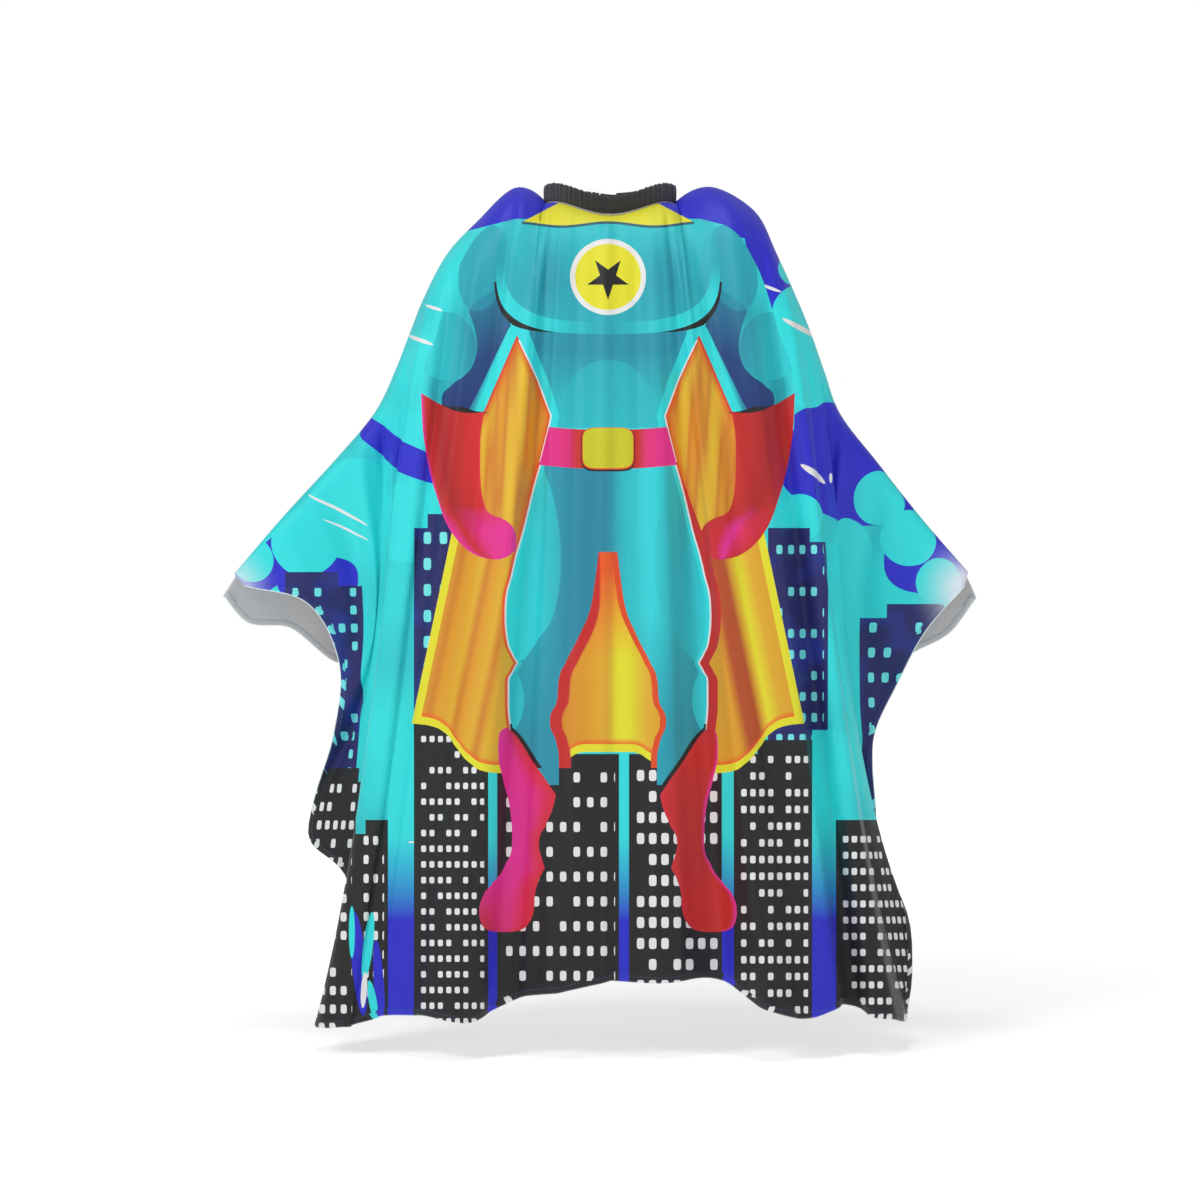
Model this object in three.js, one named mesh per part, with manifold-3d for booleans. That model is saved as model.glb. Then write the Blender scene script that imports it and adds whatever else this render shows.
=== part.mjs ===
// A child's hairdressing cape, hanging as it does on a child who holds both arms half out to the sides.
// Millimetres, +Z up. The wearer faces -Y, and the cape's left half is at -X. Heights in the tables are
// above the floor, and the whole group is then lowered so that the origin is the centre of the neck opening.
import * as THREE from "three";
import { mergeVertices } from "three/addons/utils/BufferGeometryUtils.js";
import Module from "manifold-3d";

const wasm = await Module();
wasm.setup();

// ---- Driving dimensions ----------------------------------------------------------------------------
const NECK_HEIGHT = 828.5; // height of the neck opening's centre above the floor
const NECK_HALF_WIDTH = 62;
const NECK_HALF_DEPTH = 60;
const NECKLINE_MEAN = -7.2; // of the neckline, above the neck opening's centre
const NECKLINE_WAVES = [-8.1, -3.6, -2.2, -2]; // one to four waves round the neck, highest at the front if > 0
const CLOTH = 1.6; // thickness of the draped cloth's solids
const HEM_WIDTH = 6;
const HEM_THICKNESS = 2.4;
const GAP = 0.4; // between pieces that touch on the real cape

// The neck band's three layers, as offsets outwards from the neckline, and its height range above it.
const BAND_LOW = 2.6;
const BAND_HIGH = 19.6;
const LINING = [0, 1.2];
const ELASTIC = [1.5, 2.5];
const COVER = [2.8, 4.0];
const BINDING = [-1.1, 0.7];
const BINDING_HEIGHT = [-3, 2.1];
const BAND_FROM = -170; // degrees round the neck from the front, positive towards +X
const BAND_TO = 174;

// The free tab that laps over the band's right end behind the neck.
const TAB_ROOT = 188.6;
const TAB_TIP = 131;
const TAB_RISE_ENDS = 176;
const TAB_ROOT_OFFSET = 0.6;
const TAB_LIFT = 6.9;
const TAB_LOW = 4.2;
const TAB_HIGH = 19.2;
const TAB_LINING = [0, 0.9];
const TAB_COVER = [1.2, 2.2];

// Snap fasteners.
const SOCKET_ANGLES = [139, 150, 161, 172];
const STUD_ANGLES = [139, 161];
const SNAP_RADIUS = 4.4;
const SNAP_HEIGHT = 11.6; // of each snap's centre above the neckline
const SHANK_RADIUS = 0.9;
const SHANK_HOLE = 1.3;
const POST_RADIUS = 1.4;
const SOCKET_MOUTH = 2.4;
const SOCKET_DEPTH = 1.6;

// ---- Guide points of the drape ------------------------------------------------------------------------
// Stations 0 to 3 run round a quarter of the neck, and 3 to 13 along the shoulder and the arm to the hand.
const NECK_STATIONS = 3;
const LAST = 13;
const CLOTH_OFFSET = 2.4; // of the cloth's cut edge outside the neckline

// The ridge over shoulder and arm, from the side of the neck to the hand: distance out, depth, height.
const NECK_SIDE = [NECK_HALF_WIDTH + CLOTH_OFFSET, 0, 822.9];
const UPPER_ARM = [
  [182, 0, 736],
  [197, -2, 700],
  [211, -5, 662],
];
const RIDGE = {
  right: [
    NECK_SIDE,
    [100, 0, 841],
    [142, 0, 819],
    [162, 0, 780],
    ...UPPER_ARM,
    [228, -10, 616],
    [266, -15, 566],
    [308, -20, 512],
    [354, -26, 458],
  ],
  left: [
    NECK_SIDE,
    [94, 0, 840],
    [131, 0, 808],
    [160, 0, 777],
    ...UPPER_ARM,
    [234, -10, 616],
    [276, -15, 566],
    [325, -20, 512],
    [372, -26, 456],
  ],
};

// The front hem on each side, from the centre front round the lower corner and up the side to the hand.
const FRONT_HEM = {
  right: [
    [0, -172, 73],
    [48, -184, 72],
    [100, -160, 73],
    [146, -192, 48],
    [188, -186, 40],
    [222, -152, 48],
    [256, -158, 34],
    [293, -108, 38],
    [281, -56, 134],
    [265, -32, 218],
    [260, -24, 288],
    [284, -28, 346],
    [312, -34, 400],
    [351, -32, 444],
  ],
  left: [
    [0, -172, 73],
    [46, -186, 64],
    [88, -158, 54],
    [132, -190, 36],
    [178, -182, 42],
    [216, -150, 36],
    [250, -160, 28],
    [278, -112, 32],
    [254, -56, 150],
    [300, -30, 200],
    [274, -26, 296],
    [268, -29, 366],
    [298, -34, 426],
    [362, -32, 444],
  ],
};

// The back hem: from the free edge behind the spine, out along the lower back, and up to the hand.
const LOWER_BACK_HEM = [
  [38, 148, 330],
  [84, 158, 326],
  [124, 144, 318],
  [160, 146, 322],
  [192, 122, 326],
  [218, 112, 334],
  [238, 88, 342],
  [252, 74, 350],
  [262, 60, 357],
  [271, 48, 364],
];
const BACK_HEM = {
  right: [...LOWER_BACK_HEM, [284, 38, 362], [308, 28, 378], [341, 12, 397], [365, -8, 432]],
  left: [...LOWER_BACK_HEM, [286, 36, 372], [322, 24, 402], [362, 8, 407], [385, -12, 434]],
};

// How the cloth leaves the ridge: it runs out level as far as the body reaches at that station, then turns
// down. Under the arms it first hangs inwards and then swings out to its edge.
const LEVEL_START = 0.03;
const TURN_SHARE = 0.05; // share of the drop in which the cloth has turned down
const FRONT_REACH = [102, 102, 101, 98, 95, 90, 83, 74, 64, 55, 48, 43, 38, 32];
const BACK_REACH = [90, 90, 87, 80, 74, 68, 61, 53, 44, 34, 24, 15, 6, -2];
const FRONT_TUCK = [0, 0, 0, 0, 0, 2, 10, 26, 42, 52, 52, 40, 16, 0];
const BACK_TUCK = [0, 0, 0, 0, 0, 0, 2, 6, 10, 12, 10, 6, 2, 0];

// ---- Helpers ------------------------------------------------------------------------------------------
const radians = THREE.MathUtils.degToRad;
const lerp = THREE.MathUtils.lerp;

// A smooth curve through points, read by station number.
function guide(points) {
  const curve = new THREE.CatmullRomCurve3(
    points.map((p) => new THREE.Vector3(...p)),
    false,
    "catmullrom",
  );
  return (station) => curve.getPoint(THREE.MathUtils.clamp(station / (points.length - 1), 0, 1));
}

function neckHeight(degrees) {
  const a = radians(degrees);
  const wave = NECKLINE_WAVES.reduce((sum, height, i) => sum + height * Math.cos((i + 1) * a), 0);
  return NECK_HEIGHT + NECKLINE_MEAN + wave;
}

// A point round the neck: degrees from the front, offset outwards and height above the neckline.
function neckPoint(degrees, offset, height = 0) {
  const a = radians(degrees);
  return new THREE.Vector3(
    (NECK_HALF_WIDTH + offset) * Math.sin(a),
    -(NECK_HALF_DEPTH + offset) * Math.cos(a),
    neckHeight(degrees) + height,
  );
}

// A BufferGeometry from points and triangles, turned so that its faces point outwards.
function solidGeometry(points, triangles) {
  const volume = triangles.reduce(
    (sum, [a, b, c]) => sum + points[a].dot(points[b].clone().cross(points[c])),
    0,
  );
  const facing = volume < 0 ? triangles.map(([a, b, c]) => [a, c, b]) : triangles;
  return new THREE.BufferGeometry()
    .setAttribute("position", new THREE.Float32BufferAttribute(points.flatMap((p) => p.toArray()), 3))
    .setIndex(facing.flat());
}

// A closed sheet of even thickness round a grid of spots, each a point with the direction square to the
// sheet there. offset moves the sheet along that direction.
function sheet(grid, thickness, offset = 0) {
  const [columns, rows] = [grid.length, grid[0].length];
  const shifted = (distance) =>
    grid.flat().map(({ point, normal }) => point.clone().addScaledVector(normal, distance));
  const points = [...shifted(offset + thickness / 2), ...shifted(offset - thickness / 2)];
  const count = columns * rows;
  const index = (i, j) => i * rows + j;
  const triangles = [];
  const quad = (a, b, c, d) => triangles.push([a, b, c], [a, c, d]);
  for (let i = 0; i < columns - 1; i++) {
    for (let j = 0; j < rows - 1; j++) {
      const [a, b, c, d] = [index(i, j), index(i + 1, j), index(i + 1, j + 1), index(i, j + 1)];
      quad(a, b, c, d);
      quad(a + count, d + count, c + count, b + count);
    }
  }
  const rim = [];
  for (let i = 0; i < columns - 1; i++) rim.push([index(i, 0), index(i + 1, 0)]);
  for (let j = 0; j < rows - 1; j++) rim.push([index(columns - 1, j), index(columns - 1, j + 1)]);
  for (let i = columns - 1; i > 0; i--) rim.push([index(i, rows - 1), index(i - 1, rows - 1)]);
  for (let j = rows - 1; j > 0; j--) rim.push([index(0, j), index(0, j - 1)]);
  rim.forEach(([a, b]) => quad(b, a, a + count, b + count));
  return solidGeometry(points, triangles);
}

// A closed strip round the neck. offsets(degrees) gives its inner and outer offset there.
function neckStrip(from, to, offsets, low, high) {
  const steps = Math.max(4, Math.round(Math.abs(to - from) / 6));
  const points = [];
  for (let i = 0; i <= steps; i++) {
    const degrees = lerp(from, to, i / steps);
    const [inner, outer] = offsets(degrees);
    points.push(
      neckPoint(degrees, inner, low),
      neckPoint(degrees, outer, low),
      neckPoint(degrees, outer, high),
      neckPoint(degrees, inner, high),
    );
  }
  const triangles = [
    [0, 1, 2],
    [0, 2, 3],
  ];
  for (let i = 0; i < steps; i++) {
    for (let k = 0; k < 4; k++) {
      const [a, b] = [4 * i + k, 4 * i + ((k + 1) % 4)];
      triangles.push([a, a + 4, b + 4], [a, b + 4, b]);
    }
  }
  const last = 4 * steps;
  triangles.push([last, last + 2, last + 1], [last, last + 3, last + 2]);
  return solidGeometry(points, triangles);
}

function toManifold(geometry) {
  const plain = geometry.clone();
  plain.deleteAttribute("normal");
  plain.deleteAttribute("uv");
  const merged = mergeVertices(plain, 1e-4);
  return new wasm.Manifold(
    new wasm.Mesh({
      numProp: 3,
      vertProperties: merged.attributes.position.array,
      triVerts: new Uint32Array(merged.index.array),
    }),
  );
}

function fromManifold(solid) {
  const mesh = solid.getMesh();
  return new THREE.BufferGeometry()
    .setAttribute("position", new THREE.BufferAttribute(new Float32Array(mesh.vertProperties), 3))
    .setIndex(new THREE.BufferAttribute(new Uint32Array(mesh.triVerts), 1));
}

// The turn that points a lathe's own axis straight out from the neck.
function outwardTurn(degrees) {
  const a = radians(degrees);
  const out = new THREE.Vector3(Math.sin(a), -Math.cos(a), 0);
  return new THREE.Quaternion().setFromUnitVectors(new THREE.Vector3(0, 1, 0), out);
}

// Cuts the shank holes of the snaps at these angles through one layer.
function punched(geometry, angles) {
  const holes = angles.map((degrees) => {
    const drill = new THREE.CylinderGeometry(SHANK_HOLE, SHANK_HOLE, 30, 12);
    drill.applyQuaternion(outwardTurn(degrees));
    const centre = neckPoint(degrees, 0, SNAP_HEIGHT);
    return toManifold(drill.translate(...centre));
  });
  return fromManifold(holes.reduce((layer, hole) => layer.subtract(hole), toManifold(geometry)));
}

// ---- Materials ----------------------------------------------------------------------------------------
const printedCloth = new THREE.MeshStandardMaterial({ color: 0x35c9d0, roughness: 0.5, metalness: 0 });
const hemCloth = new THREE.MeshStandardMaterial({ color: 0x2d2d30, roughness: 0.6, metalness: 0 });
const blackKnit = new THREE.MeshStandardMaterial({ color: 0x2b2b2b, roughness: 0.9, metalness: 0 });
const bindingTape = new THREE.MeshStandardMaterial({ color: 0xdcdcdc, roughness: 0.8, metalness: 0 });
const snapPlastic = new THREE.MeshStandardMaterial({ color: 0x1c1c1e, roughness: 0.35, metalness: 0 });
const labelSatin = new THREE.MeshStandardMaterial({ color: 0xf2f2f0, roughness: 0.5, metalness: 0 });

const cape = new THREE.Group();
cape.position.z = -NECK_HEIGHT;

function addPiece(name, geometry, material) {
  const piece = new THREE.Mesh(geometry, material);
  piece.name = name;
  cape.add(piece);
  return piece;
}

// ---- The drape ------------------------------------------------------------------------------------------
// Where a column of cloth starts: round the neck to its side, then along the ridge.
function topLine(ridge, neckDegrees) {
  return (station) =>
    station < NECK_STATIONS
      ? neckPoint(neckDegrees(station), CLOTH_OFFSET)
      : ridge(station - NECK_STATIONS);
}

// A surface from a top line to a hem. side is -1 on the left, and depth is -1 in front of the ridge and 1
// behind it. turn tells which way round its stations run as seen from outside.
function drape(side, depth, top, hem, reach, tuck) {
  const at = (station, share) => {
    const [start, end] = [top(station), hem(station)];
    const fall = (share * share * (1 + LEVEL_START)) / (share + LEVEL_START);
    const out = (1 - Math.exp(-share / TURN_SHARE)) * (1 - share) ** 1.2;
    const bulge = reach(station) - depth * start.y;
    const inwards = tuck(station) * 4 * share ** 2 * (1 - share);
    return new THREE.Vector3(
      side * (lerp(start.x, end.x, share) - inwards),
      lerp(start.y, end.y, share) + depth * bulge * out,
      lerp(start.z, end.z, fall),
    );
  };
  return { at, turn: side * depth };
}

// A hem line moved into the cloth, square to itself.
function movedIn(hem, cloth, distance) {
  return (station) => {
    const along = hem(station + 0.05).sub(hem(station - 0.05)).normalize();
    const inwards = cloth.at(station, 0.97).sub(hem(station)).projectOnPlane(along).normalize();
    return hem(station).addScaledVector(inwards, distance);
  };
}

const QUARTER_TURN = 90;
const frontDegrees = (station) => (QUARTER_TURN * station) / NECK_STATIONS;
const NAPE_EDGE = 178;
const backDegrees = (station) => lerp(NAPE_EDGE, QUARTER_TURN, station / NECK_STATIONS);
const readOff = (values) => {
  const line = guide(values.map((value) => [value, 0, 0]));
  return (station) => line(station).x;
};
const HALVES = {
  front: { depth: -1, hems: FRONT_HEM, degrees: frontDegrees, reach: FRONT_REACH, tuck: FRONT_TUCK },
  back: { depth: 1, hems: BACK_HEM, degrees: backDegrees, reach: BACK_REACH, tuck: BACK_TUCK },
};
// The front or the back on one side, with its hem moved in by a distance.
function surfaceOf(half, sideName, inset) {
  const { depth, hems, degrees, reach, tuck } = HALVES[half];
  const side = sideName === "right" ? 1 : -1;
  const top = topLine(guide(RIDGE[sideName]), degrees);
  const hem = guide(hems[sideName]);
  const whole = drape(1, depth, top, hem, readOff(reach), readOff(tuck));
  return drape(side, depth, top, movedIn(hem, whole, inset), readOff(reach), readOff(tuck));
}

// The whole front, with stations counted from the left hand at -13 to the right hand at 13.
function wholeFront(inset) {
  const [left, right] = ["left", "right"].map((side) => surfaceOf("front", side, inset));
  const at = (station, share) => (station < 0 ? left.at(-station, share) : right.at(station, share));
  return { at, turn: right.turn };
}

function columnLength(surface, station) {
  let length = 0;
  const steps = 12;
  for (let i = 0; i < steps; i++) {
    length += surface.at(station, i / steps).distanceTo(surface.at(station, (i + 1) / steps));
  }
  return length;
}

// A point of a surface and the direction square to it there, out of the cape.
function spot({ at, turn }, station, share) {
  const [acrossStep, downStep] = [0.05, 0.004];
  const across = at(station + acrossStep, share).sub(at(station - acrossStep, share));
  const down = at(station, Math.min(share + downStep, 1)).sub(at(station, Math.max(share - downStep, 0)));
  return { point: at(station, share), normal: across.cross(down).normalize().multiplyScalar(turn) };
}

// Stations from one to another, on a spacing that all pieces share so that their edges match.
const STATION_STEP = 0.5;
function stations(from, to) {
  const between = [];
  for (let n = Math.ceil(from / STATION_STEP); n * STATION_STEP < to; n++) between.push(n * STATION_STEP);
  return [from, ...between.filter((station) => station > from), to];
}

// Grid of a surface between two stations, from just beside the ridge to the surface's lower edge. Rows lie
// closer together near the ridge.
const ROW_CROWDING = 1.5;
function panelGrid(surface, from, to, rows) {
  return stations(from, to).map((station) => {
    const length = columnLength(surface, station);
    const step = 1e-3;
    const slope = surface.at(station, step).distanceTo(surface.at(station, 0)) / step;
    const first = GAP / Math.max(slope, length);
    return Array.from({ length: rows + 1 }, (_, j) =>
      spot(surface, station, lerp(first, 1, (j / rows) ** ROW_CROWDING)),
    );
  });
}

// A strip of cloth along a hem, between the lower edges of two surfaces.
function hemGrid(upper, lower, from, to) {
  return stations(from, to).map((station) => [upper, lower].map((surface) => spot(surface, station, 1)));
}

// ---- Cloth panels and hems ------------------------------------------------------------------------------
const PLACKET_STATION = 0.22;
const STATION_GAP = 0.02;
const CORNER = 7; // the station of the front's lower corners
const INSETS = { panel: HEM_WIDTH, upper: HEM_WIDTH - 2.5 * GAP, lower: 0 };

addPiece(
  "front_panel",
  sheet(panelGrid(wholeFront(INSETS.panel), -LAST, LAST, 15), CLOTH),
  printedCloth,
);
const addFrontHem = (name, from, to) =>
  addPiece(
    name,
    sheet(hemGrid(wholeFront(INSETS.upper), wholeFront(INSETS.lower), from, to), HEM_THICKNESS),
    hemCloth,
  );
addFrontHem("front_hem", -CORNER, CORNER);
addFrontHem("left_side_hem", -LAST, -CORNER - STATION_GAP);
addFrontHem("right_side_hem", CORNER + STATION_GAP, LAST);

for (const side of ["left", "right"]) {
  const [panel, upper, lower] = Object.values(INSETS).map((inset) => surfaceOf("back", side, inset));
  const start = PLACKET_STATION + STATION_GAP;
  addPiece(`back_${side}_panel`, sheet(panelGrid(panel, start, LAST, 9), CLOTH), printedCloth);
  addPiece(
    `back_${side}_placket`,
    sheet(panelGrid(panel, 0, PLACKET_STATION, 9), HEM_THICKNESS),
    hemCloth,
  );
  addPiece(`back_${side}_hem`, sheet(hemGrid(upper, lower, 0, LAST), HEM_THICKNESS), hemCloth);
}

// ---- Care label, sewn flat inside the left back panel -------------------------------------------------------
const LABEL = { from: 3.4, to: 4.4, top: 0.72, bottom: 0.79, thickness: 0.6 };
const labelCloth = surfaceOf("back", "left", INSETS.panel);
const labelGrid = Array.from({ length: 4 }, (_, i) =>
  Array.from({ length: 4 }, (_, j) =>
    spot(labelCloth, lerp(LABEL.from, LABEL.to, i / 3), lerp(LABEL.top, LABEL.bottom, j / 3)),
  ),
);
const labelOffset = -(CLOTH / 2 + 2 * GAP + LABEL.thickness / 2);
addPiece("care_label", sheet(labelGrid, LABEL.thickness, labelOffset), labelSatin);

// ---- Neck band --------------------------------------------------------------------------------------------
const bandLayer = (offsets, angles) =>
  punched(neckStrip(BAND_FROM, BAND_TO, () => offsets, BAND_LOW, BAND_HIGH), angles);
addPiece("neck_band_cover", bandLayer(COVER, SOCKET_ANGLES), blackKnit);
addPiece("neck_band_elastic", bandLayer(ELASTIC, SOCKET_ANGLES), bindingTape);
addPiece("neck_band_lining", bandLayer(LINING, SOCKET_ANGLES), blackKnit);
addPiece(
  "neckline_binding",
  neckStrip(BAND_FROM, BAND_TO, () => BINDING, ...BINDING_HEIGHT),
  bindingTape,
);

// The tab's offset at an angle: level with the band at its root, then lifted clear of the band's other end.
function tabOffset(degrees) {
  const share = THREE.MathUtils.smoothstep(TAB_ROOT - degrees, 0, TAB_ROOT - TAB_RISE_ENDS);
  return TAB_ROOT_OFFSET + TAB_LIFT * share;
}
const tabLayer = ([inner, outer]) =>
  punched(
    neckStrip(
      TAB_ROOT,
      TAB_TIP,
      (degrees) => [tabOffset(degrees) + inner, tabOffset(degrees) + outer],
      TAB_LOW,
      TAB_HIGH,
    ),
    STUD_ANGLES,
  );
addPiece("tab_cover", tabLayer(TAB_COVER), blackKnit);
addPiece("tab_lining", tabLayer(TAB_LINING), blackKnit);

// ---- Snap fasteners ---------------------------------------------------------------------------------------
const LATHE_STEPS = 16;
const lathe = (profile) =>
  new THREE.LatheGeometry(profile.map(([r, h]) => new THREE.Vector2(r, h)), LATHE_STEPS);

// A domed cap whose shank reaches down from it. Heights run from the face that lies on the cloth.
function capGeometry(shankLength) {
  return lathe([
    [0, -shankLength],
    [SHANK_RADIUS, -shankLength],
    [SHANK_RADIUS, 0],
    [SNAP_RADIUS, 0],
    [SNAP_RADIUS, 0.45],
    [SNAP_RADIUS * 0.72, 0.85],
    [0, 1],
  ]);
}

// A ring with a mouth that takes the stud's post, over a narrower hole for the cap's shank.
function socketGeometry() {
  return lathe([
    [SHANK_HOLE, 0],
    [SNAP_RADIUS, 0],
    [SNAP_RADIUS, SOCKET_DEPTH * 0.6],
    [SNAP_RADIUS * 0.85, SOCKET_DEPTH],
    [SOCKET_MOUTH, SOCKET_DEPTH],
    [SOCKET_MOUTH, 0.5],
    [SHANK_HOLE, 0.5],
    [SHANK_HOLE, 0],
  ]);
}

// A disc with a rounded post.
function studGeometry() {
  return lathe([
    [0, 0],
    [SNAP_RADIUS * 0.9, 0],
    [SNAP_RADIUS * 0.9, 0.7],
    [POST_RADIUS, 0.8],
    [POST_RADIUS, 1.7],
    [POST_RADIUS * 0.7, 1.95],
    [0, 1.95],
  ]);
}

// Puts a lathed piece at an angle round the neck. inwards turns its axis towards the neck.
function addSnapPiece(name, geometry, degrees, offset, inwards) {
  const piece = addPiece(name, geometry, snapPlastic);
  piece.position.copy(neckPoint(degrees, offset, SNAP_HEIGHT));
  piece.quaternion.copy(outwardTurn(inwards ? degrees + 180 : degrees));
}

SOCKET_ANGLES.forEach((degrees, i) => {
  const shank = COVER[1] - LINING[0] + 2 * GAP;
  addSnapPiece(`socket_${i + 1}`, socketGeometry(), degrees, COVER[1] + GAP, false);
  addSnapPiece(`socket_cap_${i + 1}`, capGeometry(shank), degrees, LINING[0] - GAP, true);
});
STUD_ANGLES.forEach((degrees, i) => {
  const tabInside = tabOffset(degrees) + TAB_LINING[0];
  const tabOutside = tabOffset(degrees) + TAB_COVER[1];
  addSnapPiece(`stud_${i + 1}`, studGeometry(), degrees, tabInside - GAP, true);
  addSnapPiece(`stud_cap_${i + 1}`, capGeometry(tabOutside - tabInside), degrees, tabOutside + GAP, false);
});

export default cape;
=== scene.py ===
"""A child's hairdressing cape with a printed hero costume, hanging as on a child with both arms half out.

Tables are in millimetres with heights above the floor, as in the CAD model. place() turns them into the
frame's metres, whose origin is the centre of the neck opening.
"""
import math
from functools import partialmethod

import bmesh
import bpy
import numpy as np
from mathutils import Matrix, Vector


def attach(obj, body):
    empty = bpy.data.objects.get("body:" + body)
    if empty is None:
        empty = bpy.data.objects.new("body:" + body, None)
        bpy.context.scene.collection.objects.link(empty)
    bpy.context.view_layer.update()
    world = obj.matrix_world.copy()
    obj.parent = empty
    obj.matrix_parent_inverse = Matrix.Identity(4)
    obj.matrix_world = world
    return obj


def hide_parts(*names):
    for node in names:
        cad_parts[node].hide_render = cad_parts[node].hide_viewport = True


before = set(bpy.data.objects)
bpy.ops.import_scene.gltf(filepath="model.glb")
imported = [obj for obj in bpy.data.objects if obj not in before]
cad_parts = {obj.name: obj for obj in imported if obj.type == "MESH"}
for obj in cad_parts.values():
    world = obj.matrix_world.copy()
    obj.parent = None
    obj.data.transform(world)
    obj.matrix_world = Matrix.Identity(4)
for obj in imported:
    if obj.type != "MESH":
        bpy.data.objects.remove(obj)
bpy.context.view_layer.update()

MM = 0.001
NECK_HEIGHT = 828.5
FLOOR_Z = -NECK_HEIGHT * MM


def place(points):
    """Millimetres above the floor to the frame's metres."""
    return (np.asarray(points, float) - [0, 0, NECK_HEIGHT]) * MM


# ---- Camera ------------------------------------------------------------------
# The view of a long lens at the height of the cape's middle: a frame 1.2 m wide at the wearer.
CAMERA = np.array([-10.0, -2800.0, 430.0])
FRAME_WIDTH = 1200.0
SENSOR = 36.0


def add_camera():
    data = bpy.data.cameras.new("camera")
    data.sensor_width = SENSOR
    data.lens = SENSOR * -CAMERA[1] / FRAME_WIDTH
    camera = bpy.data.objects.new("camera", data)
    camera.location = place(CAMERA)
    camera.rotation_euler = (math.pi / 2, 0, 0)
    bpy.context.collection.objects.link(camera)
    bpy.context.scene.camera = camera


# ---- Guide lines of the drape, as in the CAD model ---------------------------
NECK_HALF_WIDTH = 62
NECK_HALF_DEPTH = 60
NECKLINE_MEAN = -7.2
NECKLINE_WAVES = (-8.1, -3.6, -2.2, -2)
NECK_STATIONS = 3
LAST = 13
CORNER = 7
CLOTH_OFFSET = 2.4

NECK_SIDE = (NECK_HALF_WIDTH + CLOTH_OFFSET, 0, 822.9)
UPPER_ARM = [(182, 0, 736), (197, -2, 700), (211, -5, 662)]
RIDGE = {
    "right": [NECK_SIDE, (100, 0, 841), (142, 0, 819), (162, 0, 780), *UPPER_ARM]
    + [(228, -10, 616), (266, -15, 566), (308, -20, 512), (354, -26, 458)],
    "left": [NECK_SIDE, (94, 0, 840), (131, 0, 808), (160, 0, 777), *UPPER_ARM]
    + [(234, -10, 616), (276, -15, 566), (325, -20, 512), (372, -26, 456)],
}
FRONT_HEM = {
    "right": [(0, -172, 73), (48, -184, 72), (100, -160, 73), (146, -192, 48), (188, -186, 40)]
    + [(222, -152, 48), (256, -158, 34), (293, -108, 38), (281, -56, 134), (265, -32, 218)]
    + [(260, -24, 288), (284, -28, 346), (312, -34, 400), (351, -32, 444)],
    "left": [(0, -172, 73), (46, -186, 64), (88, -158, 54), (132, -190, 36), (178, -182, 42)]
    + [(216, -150, 36), (250, -160, 28), (278, -112, 32), (254, -56, 150), (300, -30, 200)]
    + [(274, -26, 296), (268, -29, 366), (298, -34, 426), (362, -32, 444)],
}
LOWER_BACK_HEM = [(38, 148, 330), (84, 158, 326), (124, 144, 318), (160, 146, 322), (192, 122, 326)]
LOWER_BACK_HEM += [(218, 112, 334), (238, 88, 342), (252, 74, 350), (262, 60, 357), (271, 48, 364)]
BACK_HEM = {
    "right": LOWER_BACK_HEM + [(284, 38, 362), (308, 28, 378), (341, 12, 397), (365, -8, 432)],
    "left": LOWER_BACK_HEM + [(286, 36, 372), (322, 24, 402), (362, 8, 407), (385, -12, 434)],
}
# Station by station: how far out from the middle plane the cloth hangs, and how far its side is drawn in.
FRONT_REACH = [102, 102, 101, 98, 95, 90, 83, 74, 64, 55, 48, 43, 38, 32]
BACK_REACH = [90, 90, 87, 80, 74, 68, 61, 53, 44, 34, 24, 15, 6, -2]
FRONT_TUCK = [0, 0, 0, 0, 0, 2, 10, 26, 42, 52, 52, 40, 16, 0]
BACK_TUCK = [0, 0, 0, 0, 0, 0, 2, 6, 10, 12, 10, 6, 2, 0]
# The cloth leaves the ridge nearly level, and has turned down after about TURN_SHARE of its drop.
LEVEL_START = 0.03
TURN_SHARE = 0.05
SETTLE_POWER = 1.2
NAPE_EDGE = 178


def read_off(points, station):
    """A smooth curve through points, one to a station, read at an array of stations."""
    points = np.asarray(points, float)
    if points.ndim == 1:
        return read_off(points[:, None], station)[..., 0]
    padded = np.vstack([2 * points[0] - points[1], points, 2 * points[-1] - points[-2]])
    station = np.clip(station, 0, len(points) - 1)
    low = np.minimum(station.astype(int), len(points) - 2)
    a, b, c, d = (padded[low + i] for i in range(4))
    s = (station - low)[..., None]
    slope_b, slope_c = (c - a) / 2, (d - b) / 2
    return (
        b * (2 * s**3 - 3 * s**2 + 1)
        + slope_b * (s**3 - 2 * s**2 + s)
        + c * (3 * s**2 - 2 * s**3)
        + slope_c * (s**3 - s**2)
    )


def neck_height(degrees):
    a = np.radians(degrees)
    waves = sum(height * np.cos((i + 1) * a) for i, height in enumerate(NECKLINE_WAVES))
    return NECK_HEIGHT + NECKLINE_MEAN + waves


def neck_point(degrees, offset, height=0.0):
    """A point round the neck, from degrees, offset outwards and height above the neckline."""
    a = np.radians(degrees)
    x = (NECK_HALF_WIDTH + offset) * np.sin(a)
    y = -(NECK_HALF_DEPTH + offset) * np.cos(a)
    return np.stack(np.broadcast_arrays(x, y, neck_height(degrees) + height), axis=-1)


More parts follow.
